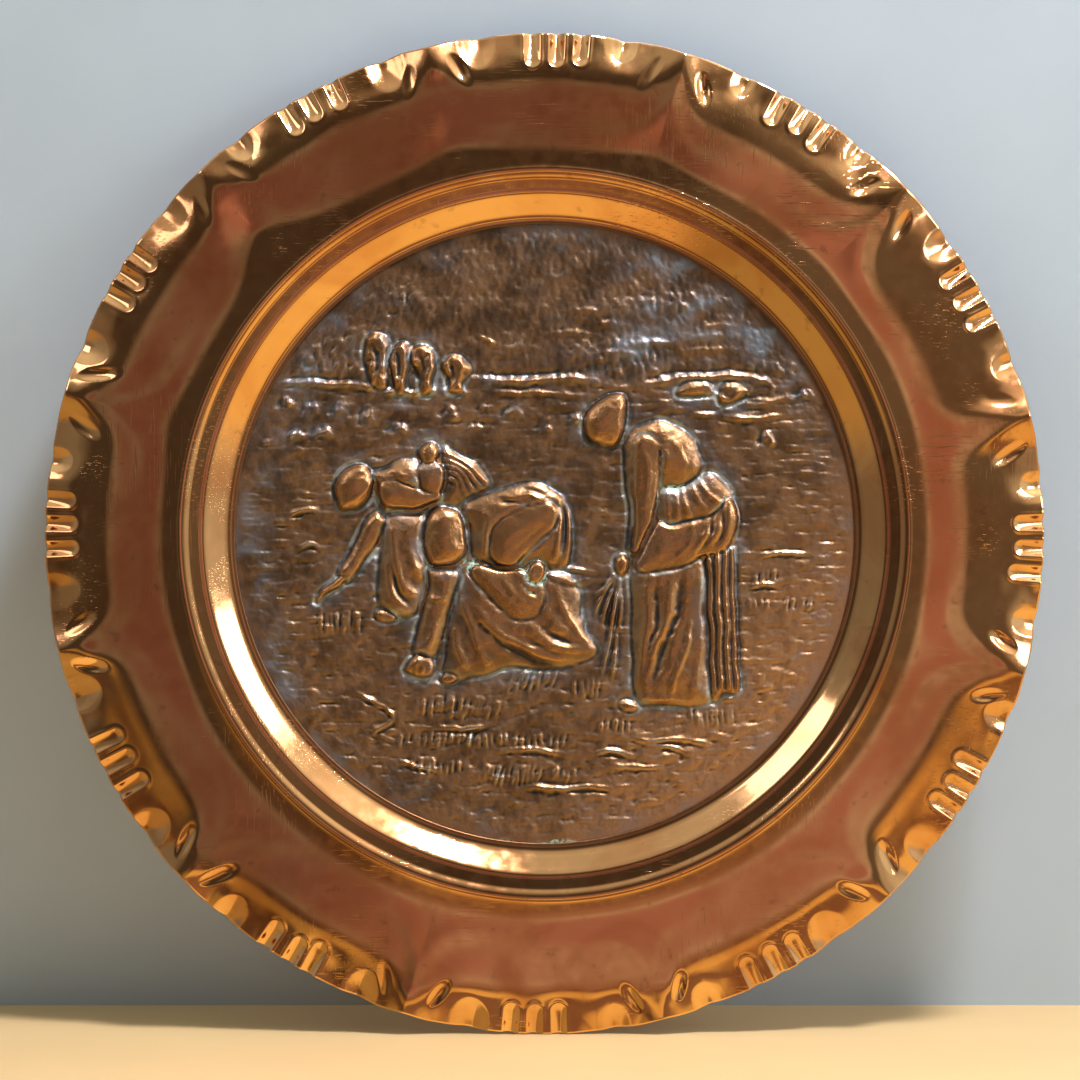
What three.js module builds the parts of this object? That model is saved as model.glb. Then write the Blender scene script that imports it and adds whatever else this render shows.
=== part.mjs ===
// Wall plate: a spun copper rim with a crimped, lobed border around an embossed copper disc.
//
// Frame: millimetres, +Z up, the plate upright with its front facing -Y.
// "Height" below means distance forward of the disc's plain ground, so a point at height h lies at
// y = -h before the whole group is centred on its bounding box.
// Radii are measured from the plate's axis. Angles run anticlockwise from +X, seen from the front.

import * as THREE from 'three';
import { mergeVertices } from 'three/addons/utils/BufferGeometryUtils.js';

// ---- driving dimensions -------------------------------------------------------------------------

const PLATE_RADIUS = 200;
const SHEET = 0.8;              // thickness of the copper sheet
const GAP = 0.3;                // clearance kept between touching pieces
const LOBES = 12;               // lobes of the crimped border, each with three pressed flutes
const LOBE_TURN = -1.4;         // degrees that the first lobe sits clockwise of +X

const MOUTH_RADIUS = 124.6;     // the rim's opening, which frames the disc
const DISC_RADIUS = 128.5;      // the disc's own edge, hidden behind the rim's lip
const PICTURE_RADIUS = 119;     // embossing stops here, and a flat border follows
const CLAMP_INNER_RADIUS = 119;
const CLAMP_THICKNESS = 1;
const CLAMP_SEGMENTS = 64;

const TACKS = 8;
const TACK_CENTRE_RADIUS = 130.5;
const TACK_SIZE = { across: 1.5, deep: 1.5, along: 4 };

const PIVOT_Z = 170;            // axis that the hanging ring swings on, above the plate's centre
const PIVOT_HEIGHT = 6;
const RING_RADIUS = 10.75;      // to the middle of the wire
const WIRE_RADIUS = 1.25;
const STRAP_WIDTH = 6;
const STRAP_EYE_RADIUS = 2.1;
const STRAP_THICKNESS = 0.8;
const STRAP_LEG_FRONT = 8.1;    // height of the leg's front face, just behind the flange
const STRAP_TOP_Z = 179;
const HANGER_SOLDER_SIZE = { wide: 1.1, deep: 0.9, tall: 2.5 };

// Section of the rim, from its mouth outward. share is how much of the border's crimping acts there.
const INNER_SECTION = [
  { radius: MOUTH_RADIUS, height: 1.1 },
  { radius: 127.5, height: 1.8 },
  { radius: 131, height: 4.6 },
  { radius: 134, height: 8.0 },
  { radius: 139, height: 8.6 },
  { radius: 141.5, height: 10.4 },
  { radius: 145.8, height: 8.7 },
  { radius: 162, height: 9.8 },
];
const BORDER_SECTION = [
  { radius: 177, height: 9.7, share: 0.1 },
  { radius: 185, height: 8.6, share: 0.6 },
  { radius: 192, height: 6.7, share: 1 },
  { radius: PLATE_RADIUS, height: 3.9, share: 1 },
];

// One half of a lobe: degrees from its middle, and how far the sheet is pushed forward there.
const HALF_LOBE = [
  { angle: 0, push: -1.2 },       // middle flute
  { angle: 1.45, push: 0.6 },     // tongue
  { angle: 2.9, push: -1.2 },     // outer flute
  { angle: 4.4, push: 0.7 },
  { angle: 6.5, push: -0.3 },
  { angle: 9.5, push: -0.9 },     // shell-shaped dish
  { angle: 12.6, push: 0.8 },
  { angle: 13.9, push: 0.3 },
];
const PINCH = { angle: 15, push: -2 };

// The embossed picture as plain domes: three field workers bending over stubble, and low trees.
const DOMES = [
  { x: -78, z: 18, wide: 8, tall: 8, height: 3.5 },      // left worker's head
  { x: -58, z: 19, wide: 18, tall: 11, height: 4.5 },    // back
  { x: -60, z: -12, wide: 12, tall: 22, height: 3.5 },   // skirt
  { x: -41, z: -1, wide: 9, tall: 12, height: 5 },       // middle worker's head
  { x: -12, z: 4, wide: 22, tall: 17, height: 5.4 },     // back
  { x: -12, z: -36, wide: 30, tall: 20, height: 4 },     // skirt
  { x: 25, z: 46, wide: 10, tall: 11, height: 5 },       // right worker's head
  { x: 48, z: 22, wide: 16, tall: 23, height: 5 },       // trunk
  { x: 54, z: -32, wide: 20, tall: 38, height: 4.5 },    // skirt
  { x: -55, z: 68, wide: 24, tall: 9, height: 2 },       // trees on the skyline
];
const PICTURE_CELLS = 22;

// ---- finishes -----------------------------------------------------------------------------------

const finish = (color, roughness, metalness) => ({ color, roughness, metalness });
const POLISHED_COPPER = finish(0xb8683c, 0.25, 1);
const DARK_COPPER = finish(0x6b4630, 0.45, 0.9);
const DULL_COPPER = finish(0x8a4f35, 0.5, 0.9);
const SOLDER = finish(0x8d8f90, 0.4, 0.9);
const BRASS_WIRE = finish(0xb08d4a, 0.35, 1);

// ---- helpers ------------------------------------------------------------------------------------

const radians = (degrees) => degrees * Math.PI / 180;
const polar = (radius, angle) => [radius * Math.cos(angle), radius * Math.sin(angle)];

function named(name, geometry, look) {
  const mesh = new THREE.Mesh(geometry, new THREE.MeshStandardMaterial(look));
  mesh.name = name;
  return mesh;
}

// Plain positions with shared corners merged, so that the mesh is one closed body.
function closed(geometry) {
  geometry.deleteAttribute('normal');
  geometry.deleteAttribute('uv');
  return mergeVertices(geometry, 1e-4);
}

function fromLists(points, triangles) {
  const geometry = new THREE.BufferGeometry();
  geometry.setAttribute('position', new THREE.Float32BufferAttribute(points.flat(), 3));
  geometry.setIndex(triangles.flat());
  return geometry;
}

// Triangles of the band between two closed rows of points that run the same way round. The outer row
// has as many points as the inner one, or twice as many.
function band(inner, outer) {
  const step = outer.length / inner.length;
  const triangles = [];
  inner.forEach((a, i) => {
    const b = inner[(i + 1) % inner.length];
    const c = outer[i * step];
    const d = outer[(i * step + step) % outer.length];
    if (step === 1) {
      triangles.push([a, c, d], [a, d, b]);
    } else {
      const middle = outer[i * step + 1];
      triangles.push([a, c, middle], [a, middle, b], [b, middle, d]);
    }
  });
  return triangles;
}

const flipped = (triangles) => triangles.map(([a, b, c]) => [a, c, b]);

// A sheet of even depth from rows of front points: the same rows are repeated behind, and the first
// and last rows are joined through the thickness.
function sheetFromRows(rows, capTriangles = []) {
  const points = rows.flat();
  const count = points.length;
  const behind = points.map(([x, y, z]) => [x, y + SHEET, z]);
  const indices = [];
  let next = 0;
  for (const row of rows) {
    indices.push(row.map((_, i) => next + i));
    next += row.length;
  }
  const front = [...capTriangles];
  for (let i = 1; i < indices.length; i++) front.push(...band(indices[i - 1], indices[i]));
  const back = flipped(front).map((triangle) => triangle.map((index) => index + count));
  const shifted = (row) => row.map((index) => index + count);
  const last = indices[indices.length - 1];
  const edges = band(last, shifted(last));
  if (capTriangles.length === 0) edges.push(...flipped(band(indices[0], shifted(indices[0]))));
  return fromLists([...points, ...behind], [...front, ...back, ...edges]);
}

// ---- rim ----------------------------------------------------------------------------------------

function lobeSamples() {
  const left = HALF_LOBE.slice(1).reverse().map((s) => ({ angle: -s.angle, push: s.push }));
  return [...left, ...HALF_LOBE, PINCH];
}

function makeRim() {
  const samples = [];
  for (let lobe = 0; lobe < LOBES; lobe++) {
    const middle = LOBE_TURN + lobe * 360 / LOBES;
    for (const s of lobeSamples()) samples.push({ angle: radians(middle + s.angle), push: s.push });
  }
  const everySecond = samples.filter((_, i) => i % 2 === 0);
  const rowAt = (list, { radius, height, share = 0 }) => list.map(({ angle, push }) => {
    const [x, z] = polar(radius, angle);
    return [x, -(height + push * share), z];
  });
  const rows = [
    ...INNER_SECTION.map((station) => rowAt(everySecond, station)),
    ...BORDER_SECTION.map((station) => rowAt(samples, station)),
  ];
  return named('rim', sheetFromRows(rows), POLISHED_COPPER);
}

// ---- embossed disc ------------------------------------------------------------------------------

function pictureHeight(x, z) {
  const fade = THREE.MathUtils.smoothstep(PICTURE_RADIUS - Math.hypot(x, z), 0, 6);
  let height = 0;
  for (const dome of DOMES) {
    const reach = Math.hypot((x - dome.x) / dome.wide, (z - dome.z) / dome.tall);
    if (reach < 1) height = Math.max(height, dome.height * Math.sqrt(1 - reach * reach));
  }
  return height * fade;
}

// A square grid of cells is drawn out into the round, so that its outermost points lie on the edge.
function makeReliefDisc() {
  const n = PICTURE_CELLS;
  const points = [];
  for (let j = 0; j <= n; j++) {
    for (let i = 0; i <= n; i++) {
      const u = 2 * i / n - 1;
      const v = 2 * j / n - 1;
      const x = DISC_RADIUS * u * Math.sqrt(1 - v * v / 2);
      const z = DISC_RADIUS * v * Math.sqrt(1 - u * u / 2);
      points.push([x, -pictureHeight(x, z), z]);
    }
  }
  const at = (i, j) => j * (n + 1) + i;
  const front = [];
  for (let j = 0; j < n; j++) {
    for (let i = 0; i < n; i++) {
      front.push([at(i, j), at(i + 1, j), at(i + 1, j + 1)], [at(i, j), at(i + 1, j + 1), at(i, j + 1)]);
    }
  }
  const edge = [];
  for (let k = 0; k < n; k++) edge.push(at(k, 0));
  for (let k = 0; k < n; k++) edge.push(at(n, k));
  for (let k = 0; k < n; k++) edge.push(at(n - k, n));
  for (let k = 0; k < n; k++) edge.push(at(0, n - k));
  const count = points.length;
  const behind = points.map(([x, y, z]) => [x, y + SHEET, z]);
  const back = flipped(front).map((triangle) => triangle.map((index) => index + count));
  const wall = band(edge, edge.map((index) => index + count));
  return named('relief_disc', fromLists([...points, ...behind], [...front, ...back, ...wall]), DARK_COPPER);
}

// ---- ring that clamps the disc, and its solder tacks ---------------------------------------------

const CLAMP_FRONT = -(SHEET + GAP);

function makeClampRing() {
  const back = CLAMP_FRONT - CLAMP_THICKNESS;
  const profile = [
    [CLAMP_INNER_RADIUS, back], [DISC_RADIUS, back], [DISC_RADIUS, CLAMP_FRONT],
    [CLAMP_INNER_RADIUS, CLAMP_FRONT], [CLAMP_INNER_RADIUS, back],
  ].map(([radius, height]) => new THREE.Vector2(radius, height));
  const geometry = closed(new THREE.LatheGeometry(profile, CLAMP_SEGMENTS));
  geometry.rotateX(Math.PI);
  return named('retaining_ring', geometry, DULL_COPPER);
}

function solderDrop(name, x, y, z, radii, turn = 0) {
  const geometry = closed(new THREE.SphereGeometry(1, 8, 6));
  geometry.scale(...radii);
  geometry.rotateY(turn);
  geometry.translate(x, y, z);
  return named(name, geometry, SOLDER);
}

function makeTacks() {
  const tacks = [];
  for (let i = 0; i < TACKS; i++) {
    const angle = (i + 0.5) * 2 * Math.PI / TACKS;
    const [x, z] = polar(TACK_CENTRE_RADIUS, angle);
    const radii = [TACK_SIZE.across, TACK_SIZE.deep, TACK_SIZE.along];
    tacks.push(solderDrop(`solder_tack_0${i + 1}`, x, 0.3, z, radii, -angle));
  }
  return tacks;
}

// ---- hanger -------------------------------------------------------------------------------------

// Side view of the strap, as (y, z) pairs: an eye round the wire, and two legs laid together above it.
function makeHangerStrap() {
  const eye = new THREE.Vector2(-PIVOT_HEIGHT, PIVOT_Z);
  const outer = STRAP_EYE_RADIUS + STRAP_THICKNESS;
  const front = -STRAP_LEG_FRONT;
  const back = front + 2 * STRAP_THICKNESS;
  const startAngle = Math.acos((front - eye.x) / outer);
  const endAngle = Math.acos((back - eye.x) / outer);
  const outline = new THREE.Shape();
  outline.moveTo(front, STRAP_TOP_Z);
  outline.lineTo(front, eye.y + outer * Math.sin(startAngle));
  outline.absarc(eye.x, eye.y, outer, startAngle, endAngle + 2 * Math.PI, false);
  outline.lineTo(back, STRAP_TOP_Z);
  outline.closePath();
  const hole = new THREE.Path();
  hole.absarc(eye.x, eye.y, STRAP_EYE_RADIUS, 0, 2 * Math.PI, true);
  outline.holes.push(hole);
  const solid = new THREE.ExtrudeGeometry(outline, { depth: STRAP_WIDTH, bevelEnabled: false, curveSegments: 9 });
  const geometry = closed(solid);
  const basis = new THREE.Matrix4().makeBasis(
    new THREE.Vector3(0, 1, 0), new THREE.Vector3(0, 0, 1), new THREE.Vector3(1, 0, 0));
  geometry.applyMatrix4(basis);
  geometry.translate(-STRAP_WIDTH / 2, 0, 0);
  return named('hanger_strap', geometry, DULL_COPPER);
}

function makeHangerSolder() {
  const { wide, deep, tall } = HANGER_SOLDER_SIZE;
  const x = STRAP_WIDTH / 2 + GAP + wide;
  const y = -(STRAP_LEG_FRONT - deep);
  const z = STRAP_TOP_Z - tall;
  return [
    solderDrop('hanger_solder_left', -x, y, z, [wide, deep, tall]),
    solderDrop('hanger_solder_right', x, y, z, [wide, deep, tall]),
  ];
}

function makeHangingRing() {
  const geometry = closed(new THREE.TorusGeometry(RING_RADIUS, WIRE_RADIUS, 8, 24));
  geometry.rotateX(Math.PI / 2);
  geometry.translate(0, -PIVOT_HEIGHT, PIVOT_Z - RING_RADIUS);
  return named('hanging_ring', geometry, BRASS_WIRE);
}

// ---- assembly -----------------------------------------------------------------------------------

const group = new THREE.Group();
group.add(makeRim(), makeReliefDisc(), makeClampRing(), ...makeTacks());
group.add(makeHangerStrap(), ...makeHangerSolder(), makeHangingRing());

const middle = new THREE.Box3().setFromObject(group).getCenter(new THREE.Vector3());
group.position.y = -middle.y;

export default group;
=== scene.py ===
"""Looks for the embossed copper wall plate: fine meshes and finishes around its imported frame.

The plate stands upright and faces -Y. Shapes are worked out in millimetres and written in metres.
"Height" means distance forward of the picture disc's plain ground. Angles run anticlockwise from +X,
seen from the front. The picture is drawn on a disc of radius 127 and scaled to the rim's mouth.
"""

import math

import bpy
import numpy as np
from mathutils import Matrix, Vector


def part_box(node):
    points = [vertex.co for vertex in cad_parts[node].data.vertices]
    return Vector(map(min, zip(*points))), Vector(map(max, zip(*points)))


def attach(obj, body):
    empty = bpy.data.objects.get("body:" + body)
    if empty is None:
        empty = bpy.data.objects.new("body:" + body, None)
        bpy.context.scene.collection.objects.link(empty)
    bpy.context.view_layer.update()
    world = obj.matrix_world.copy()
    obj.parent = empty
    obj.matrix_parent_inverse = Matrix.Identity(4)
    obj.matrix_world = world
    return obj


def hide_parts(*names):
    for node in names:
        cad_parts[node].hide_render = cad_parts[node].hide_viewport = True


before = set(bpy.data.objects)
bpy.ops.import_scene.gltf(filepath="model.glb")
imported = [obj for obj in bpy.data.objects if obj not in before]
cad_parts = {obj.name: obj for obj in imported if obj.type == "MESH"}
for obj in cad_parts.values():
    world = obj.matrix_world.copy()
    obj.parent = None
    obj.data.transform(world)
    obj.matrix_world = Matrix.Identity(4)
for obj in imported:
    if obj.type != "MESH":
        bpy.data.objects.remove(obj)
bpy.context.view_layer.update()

# ---- sizes taken from the frame, in millimetres ---------------------------------------------------

MM = 0.001
SHEET = 0.8                       # thickness of the copper sheet


def box_mm(node):
    """Lowest and highest corner of a CAD node, in millimetres."""
    low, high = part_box(node)
    return np.array(low) / MM, np.array(high) / MM


PLATE_RADIUS = box_mm("rim")[1][0]
DISC_RADIUS = box_mm("relief_disc")[1][0]
GROUND_Y = box_mm("relief_disc")[1][1] - SHEET
MOUTH_RADIUS = DISC_RADIUS - 3.9

rng = np.random.default_rng(12)


# ---- small tools ----------------------------------------------------------------------------------

def smooth(x, low, high):
    """0 below low, 1 above high, and an even S between."""
    t = np.clip((x - low) / (high - low), 0, 1)
    return t * t * (3 - 2 * t)


def hump(x, width):
    """1 at x = 0, falling away on both sides within about width."""
    return np.exp(-(x / width) ** 2)


def curve_through(x, stations):
    """A smooth curve through (x, y) stations, level-headed between them."""
    xs, ys = np.array(stations, float).T
    slopes = np.gradient(ys, xs)
    i = np.clip(np.searchsorted(xs, x, side="right") - 1, 0, len(xs) - 2)
    step = xs[i + 1] - xs[i]
    t = np.clip((x - xs[i]) / step, 0, 1)
    a = (1 + 2 * t) * (1 - t) ** 2 * ys[i] + t * (1 - t) ** 2 * step * slopes[i]
    b = t * t * (3 - 2 * t) * ys[i + 1] + t * t * (t - 1) * step * slopes[i + 1]
    return a + b


def lattice_noise(x, z, cell_x, cell_z, seed):
    """Smooth random values from -1 to 1 over the plane, with features of about the cell size."""
    table = np.random.default_rng(seed).uniform(-1, 1, (256, 256))
    u, v = x / cell_x + 80.5, z / cell_z + 80.5
    iu, iv = np.floor(u).astype(int), np.floor(v).astype(int)
    fu, fv = u - iu, v - iv
    fu, fv = fu * fu * (3 - 2 * fu), fv * fv * (3 - 2 * fv)
    iu, iv = iu % 255, iv % 255
    low = table[iu, iv] * (1 - fu) + table[iu + 1, iv] * fu
    high = table[iu, iv + 1] * (1 - fu) + table[iu + 1, iv + 1] * fu
    return low * (1 - fv) + high * fv


def blurred(grid, passes):
    """The grid with each value drawn towards its neighbours, passes times over."""
    for _ in range(passes):
        padded = np.pad(grid, 1, mode="edge")
        rows = padded[:-2] + padded[1:-1] + padded[2:]
        grid = (rows[:, :-2] + rows[:, 1:-1] + rows[:, 2:]) / 9
    return grid


def make_object(name, points_mm, faces, material, attributes=None):
    """A smooth-shaded mesh object from points in millimetres and faces as lists of indices."""
    mesh = bpy.data.meshes.new(name)
    mesh.from_pydata((np.asarray(points_mm) * MM).tolist(), [], faces)
    mesh.polygons.foreach_set("use_smooth", [True] * len(mesh.polygons))
    for key, values in (attributes or {}).items():
        layer = mesh.attributes.new(key, "FLOAT", "POINT")
        layer.data.foreach_set("value", np.asarray(values, np.float32))
    mesh.materials.append(material)
    mesh.validate()
    mesh.update()
    thing = bpy.data.objects.new(name, mesh)
    bpy.context.scene.collection.objects.link(thing)
    return thing


def band_faces(first, second):
    """Faces between two closed rows of point indices. The second may have 1, 2 or 1/2 as many."""
    if len(second) < len(first):
        return [face[::-1] for face in band_faces(second, first)]
    ratio = len(second) // len(first)
    faces = []
    for i, a in enumerate(first):
        b = first[(i + 1) % len(first)]
        run = [second[(i * ratio + k) % len(second)] for k in range(ratio + 1)]
        faces.append([a, *run, b])
    return faces


def tube_faces(rows, close=True):
    """Faces of a skin stretched over a list of closed rows; close joins the last row to the first."""
    faces = []
    pairs = list(zip(rows[:-1], rows[1:]))
    if close:
        pairs.append((rows[-1], rows[0]))
    for first, second in pairs:
        faces.extend(band_faces(first, second))
    return faces


# ---- node-tree tools for the materials ------------------------------------------------------------

class Nodes:
    """Builds a node tree for a new material or world: each call adds nodes and returns the main output."""

    def __init__(self, name, kind=bpy.data.materials):
        self.owner = kind.new(name)
        self.owner.use_nodes = True
        self.tree = self.owner.node_tree
        self.coords = self.add("ShaderNodeTexCoord").outputs["Object"]

    def add(self, kind, inputs=None, **settings):
        node = self.tree.nodes.new(kind)
        for key, value in settings.items():
            setattr(node, key, value)
        for key, value in (inputs or {}).items():
            self.put(node.inputs[key], value)
        return node

    def put(self, socket, value):
        if isinstance(value, bpy.types.NodeSocket):
            self.tree.links.new(value, socket)
        elif isinstance(value, (tuple, list)) and len(value) == 3 and socket.type == "RGBA":
            socket.default_value = (*value, 1)
        else:
            socket.default_value = value

    def attribute(self, name):
        return self.add("ShaderNodeAttribute", attribute_name=name).outputs["Fac"]

    def scaled(self, scale):
        return self.add("ShaderNodeMapping", {"Vector": self.coords, "Scale": scale}).outputs[0]

    def noise(self, size_mm, detail=2.0, stretch=(1, 1, 1), distortion=0.0):
        scale = tuple(1 / (size_mm * MM * s) for s in stretch)
        inputs = {"Vector": self.scaled(scale), "Scale": 1.0, "Detail": detail, "Distortion": distortion}
        return self.add("ShaderNodeTexNoise", inputs).outputs["Fac"]

    def math(self, operation, a, b=0.0, clamp=False):
        return self.add("ShaderNodeMath", {0: a, 1: b}, operation=operation, use_clamp=clamp).outputs[0]

    def fit(self, value, low, high, to_low=0.0, to_high=1.0):
        inputs = {"Value": value, "From Min": low, "From Max": high, "To Min": to_low, "To Max": to_high}
        return self.add("ShaderNodeMapRange", inputs, interpolation_type="SMOOTHSTEP").outputs[0]

    def blend(self, share, a, b):
        node = self.add("ShaderNodeMix", data_type="RGBA")
        self.put(node.inputs[0], share)
        self.put(node.inputs[6], a)
        self.put(node.inputs[7], b)
        return node.outputs[2]

    def bump(self, height, distance_mm, strength=1.0, onto=None):
        inputs = {"Height": height, "Distance": distance_mm * MM, "Strength": strength}
        if onto is not None:
            inputs["Normal"] = onto
        return self.add("ShaderNodeBump", inputs).outputs["Normal"]

    def vector(self, operation, a, b=(0, 0, 0), output=0):
        return self.add("ShaderNodeVectorMath", {0: a, 1: b}, operation=operation).outputs[output]

    def ramp(self, share, stops):
        node = self.add("ShaderNodeValToRGB", {"Fac": share})
        elements = node.color_ramp.elements
        elements.remove(elements[1])
        elements[0].position = stops[0][0]
        elements[0].color = (*stops[0][1], 1)
        for position, colour in stops[1:]:
            elements.new(position).color = (*colour, 1)
        return node.outputs["Color"]

    def finish(self, **values):
        shader = self.tree.nodes["Principled BSDF"]
        for key, value in values.items():
            self.put(shader.inputs[key.replace("_", " ")], value)
        return self.owner


# ---- materials ------------------------------------------------------------------------------------

def scratches(n, size_mm, stretch, patch_mm):
    """Sparse fine scratches that run along the stretched direction, in patches."""
    lines = n.fit(n.noise(size_mm, 2, stretch=stretch), 0.60, 0.72)
    return n.math("MULTIPLY", lines, n.fit(n.noise(patch_mm, 2), 0.50, 0.66))


def polished_copper():
    """Buffed copper: warm, with cloudy tarnish, wipe marks, patches of scratches and small stains, and
    painted shade in the seam and grooves.
    """
    n = Nodes("polished_copper")
    cloud = n.noise(44, 4, distortion=0.8)
    fine = n.noise(6, 4)
    base = n.blend(n.fit(cloud, 0.38, 0.66), (0.92, 0.45, 0.22), (0.76, 0.32, 0.145))
    spotted = n.blend(n.fit(fine, 0.63, 0.74, 0, 0.4), base, (0.40, 0.20, 0.11))
    # Painted shade: the seam at the mouth and the grooves of the moulding are darkened, and made rougher.
    seam_shade_mask = n.attribute("seam_shade")
    colour = n.blend(n.fit(seam_shade_mask, 0.1, 1.0, 0, 0.85), spotted, (0.13, 0.065, 0.035))
    rough = n.fit(n.math("ADD", fine, cloud), 0.8, 1.25, 0.07, 0.17)
    rough = n.math("ADD", rough, n.fit(seam_shade_mask, 0.2, 1.0, 0, 0.3))
    level = scratches(n, 0.55, (34, 1, 1), 48)
    rough = n.math("ADD", rough, n.math("MULTIPLY", level, 0.12))
    normal = n.bump(n.noise(1.6, 2, stretch=(9, 1, 1)), 0.012, 0.12)
    normal = n.bump(level, 0.05, 0.6, onto=normal)
    normal = n.bump(scratches(n, 0.6, (1, 1, 30), 60), 0.04, 0.4, onto=normal)
    return n.finish(Base_Color=colour, Metallic=1.0, Roughness=rough, Normal=normal)


def patinated_copper():
    """Embossed copper: glossy brown patina, rubbed on the high parts, blue-black in the hollows as dark oxide
    and painted shade, with painted highlight lines and painted shade along the skyline.
    """
    n = Nodes("patinated_copper")
    raised, hollow = n.attribute("raised"), n.attribute("hollow")
    mottle = n.noise(11, 5, distortion=0.6)
    grain = n.noise(1.3, 3)
    patch = n.fit(n.noise(15, 3, distortion=0.5), 0.42, 0.62)
    brown = n.blend(n.fit(mottle, 0.32, 0.66), (0.155, 0.092, 0.058), (0.38, 0.220, 0.130))
    warm = n.blend(n.math("MULTIPLY", n.attribute("warmth"), 0.9), brown, (0.70, 0.37, 0.20))
    rubbed = n.fit(n.math("ADD", raised, n.math("MULTIPLY", grain, 0.35)), 0.30, 1.05)
    copper = n.blend(rubbed, warm, (0.52, 0.250, 0.120))
    # Painted shade, over the dark oxide: the hollows go blue-black.
    shaded = n.blend(n.fit(hollow, 0.12, 0.90, 0, 0.86), copper, (0.042, 0.046, 0.062))
    # Dust, and painted shade along the skyline, make the metal a dull blue-grey.
    dust_and_shade_share = n.math("MULTIPLY", n.attribute("dust_and_shade"), n.fit(patch, 0, 1, 0.35, 0.85))
    dust_and_shade_tinted = n.blend(dust_and_shade_share, shaded, (0.20, 0.23, 0.30))
    # Painted highlight: pale lines along outlines, straws and skyline ridges.
    pale = n.math("MULTIPLY", n.attribute("painted_glint"), n.fit(patch, 0, 1, 0.42, 1.0))
    lined = n.blend(n.fit(pale, 0.15, 0.9, 0, 0.75), dust_and_shade_tinted, (0.56, 0.56, 0.57))
    green = n.math("MULTIPLY", n.attribute("verdigris"), n.fit(grain, 0.32, 0.58))
    colour = n.blend(n.fit(green, 0.20, 0.55), lined, (0.33, 0.47, 0.40))
    dull = n.math("ADD", n.math("MULTIPLY", dust_and_shade_share, 0.5), n.fit(green, 0.2, 0.6), clamp=True)
    metal = n.fit(dull, 0, 1, 0.92, 0.25)
    rough = n.math("ADD", n.fit(rubbed, 0, 1, 0.36, 0.27), n.fit(dull, 0, 1, 0, 0.2))
    normal = n.bump(grain, 0.30, 0.5)
    normal = n.bump(n.noise(0.6, 2), 0.12, 0.4, onto=normal)
    return n.finish(Base_Color=colour, Metallic=metal, Roughness=rough, Normal=normal)


def dull_copper():
    """Unpolished copper of the back: brown oxide with heat stains."""
    n = Nodes("dull_copper")
    stain = n.noise(16, 4, distortion=1.0)
    grain = n.noise(1.2, 3)
    colour = n.blend(n.fit(stain, 0.3, 0.7), (0.33, 0.17, 0.10), (0.52, 0.27, 0.16))
    rough = n.fit(grain, 0.3, 0.7, 0.42, 0.58)
    return n.finish(Base_Color=colour, Metallic=0.9, Roughness=rough, Normal=n.bump(grain, 0.08, 0.3))


def soft_solder():
    """Tin-lead solder: dull grey, slightly frosted."""
    n = Nodes("soft_solder")
    frost = n.noise(1.1, 3)
    colour = n.blend(n.fit(frost, 0.35, 0.65), (0.46, 0.45, 0.43), (0.60, 0.60, 0.59))
    return n.finish(Base_Color=colour, Metallic=0.85, Roughness=n.fit(frost, 0.3, 0.7, 0.35, 0.55),
                    Normal=n.bump(frost, 0.1, 0.4))


def brass_wire():
    """Drawn brass wire with a faint fine grain."""
    n = Nodes("brass_wire")
    worn = n.noise(4, 3)
    colour = n.blend(n.fit(worn, 0.35, 0.65), (0.58, 0.40, 0.17), (0.72, 0.54, 0.26))
    return n.finish(Base_Color=colour, Metallic=1.0, Roughness=n.fit(worn, 0.3, 0.7, 0.24, 0.42),
                    Normal=n.bump(n.noise(0.7, 2), 0.05, 0.3))


# ---- rim ------------------------------------------------------------------------------------------

LOBES = 12
LOBE_ANGLE = 360 / LOBES
LOBE_TURN = -1.4
RIM_SECTION = [                  # radius and height of the front face, from the mouth to the bead
    (124.2, 0.9), (125.4, 1.0), (126.6, 1.3), (127.8, 1.95), (129.2, 2.95), (131.0, 4.24), (133.0, 5.68),
    (134.8, 6.98), (135.6, 7.5), (136.4, 7.75), (137.4, 7.8), (138.4, 8.05), (140.2, 8.5), (141.4, 8.8),
    (143.0, 9.75), (144.4, 10.3), (145.3, 10.35), (146.2, 10.05), (147.4, 9.85),
]
BAND_START = 147.4               # beside the bead a band falls away, then the flange is nearly level
BAND_FALL = 0.16
BAND_END = 152.0
FLANGE_FALL = 0.02
BAND_REACH = [0, 1, 3.0, 4.0, 13.0, 3.0, 0, 0, 0, 0, 0, 0]        # how much further out it goes at each ridge
PANEL_RADIUS = [                 # where each lobe bends back
    170, 167.5, 178, 184, 185, 182.5, 176.5, 177, 181, 184, 181, 175.5,
]
RIDGE_RADIUS = 194.5             # the flange runs out this far along the ridges between lobes
CREASE_SOFTNESS = 1.8
FLUTE_ANGLES = (-2.9, 0.0, 2.9)
FLUTE_HALF_WIDTH = 3.2
FLUTE_DEPTH = 1.5


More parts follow.
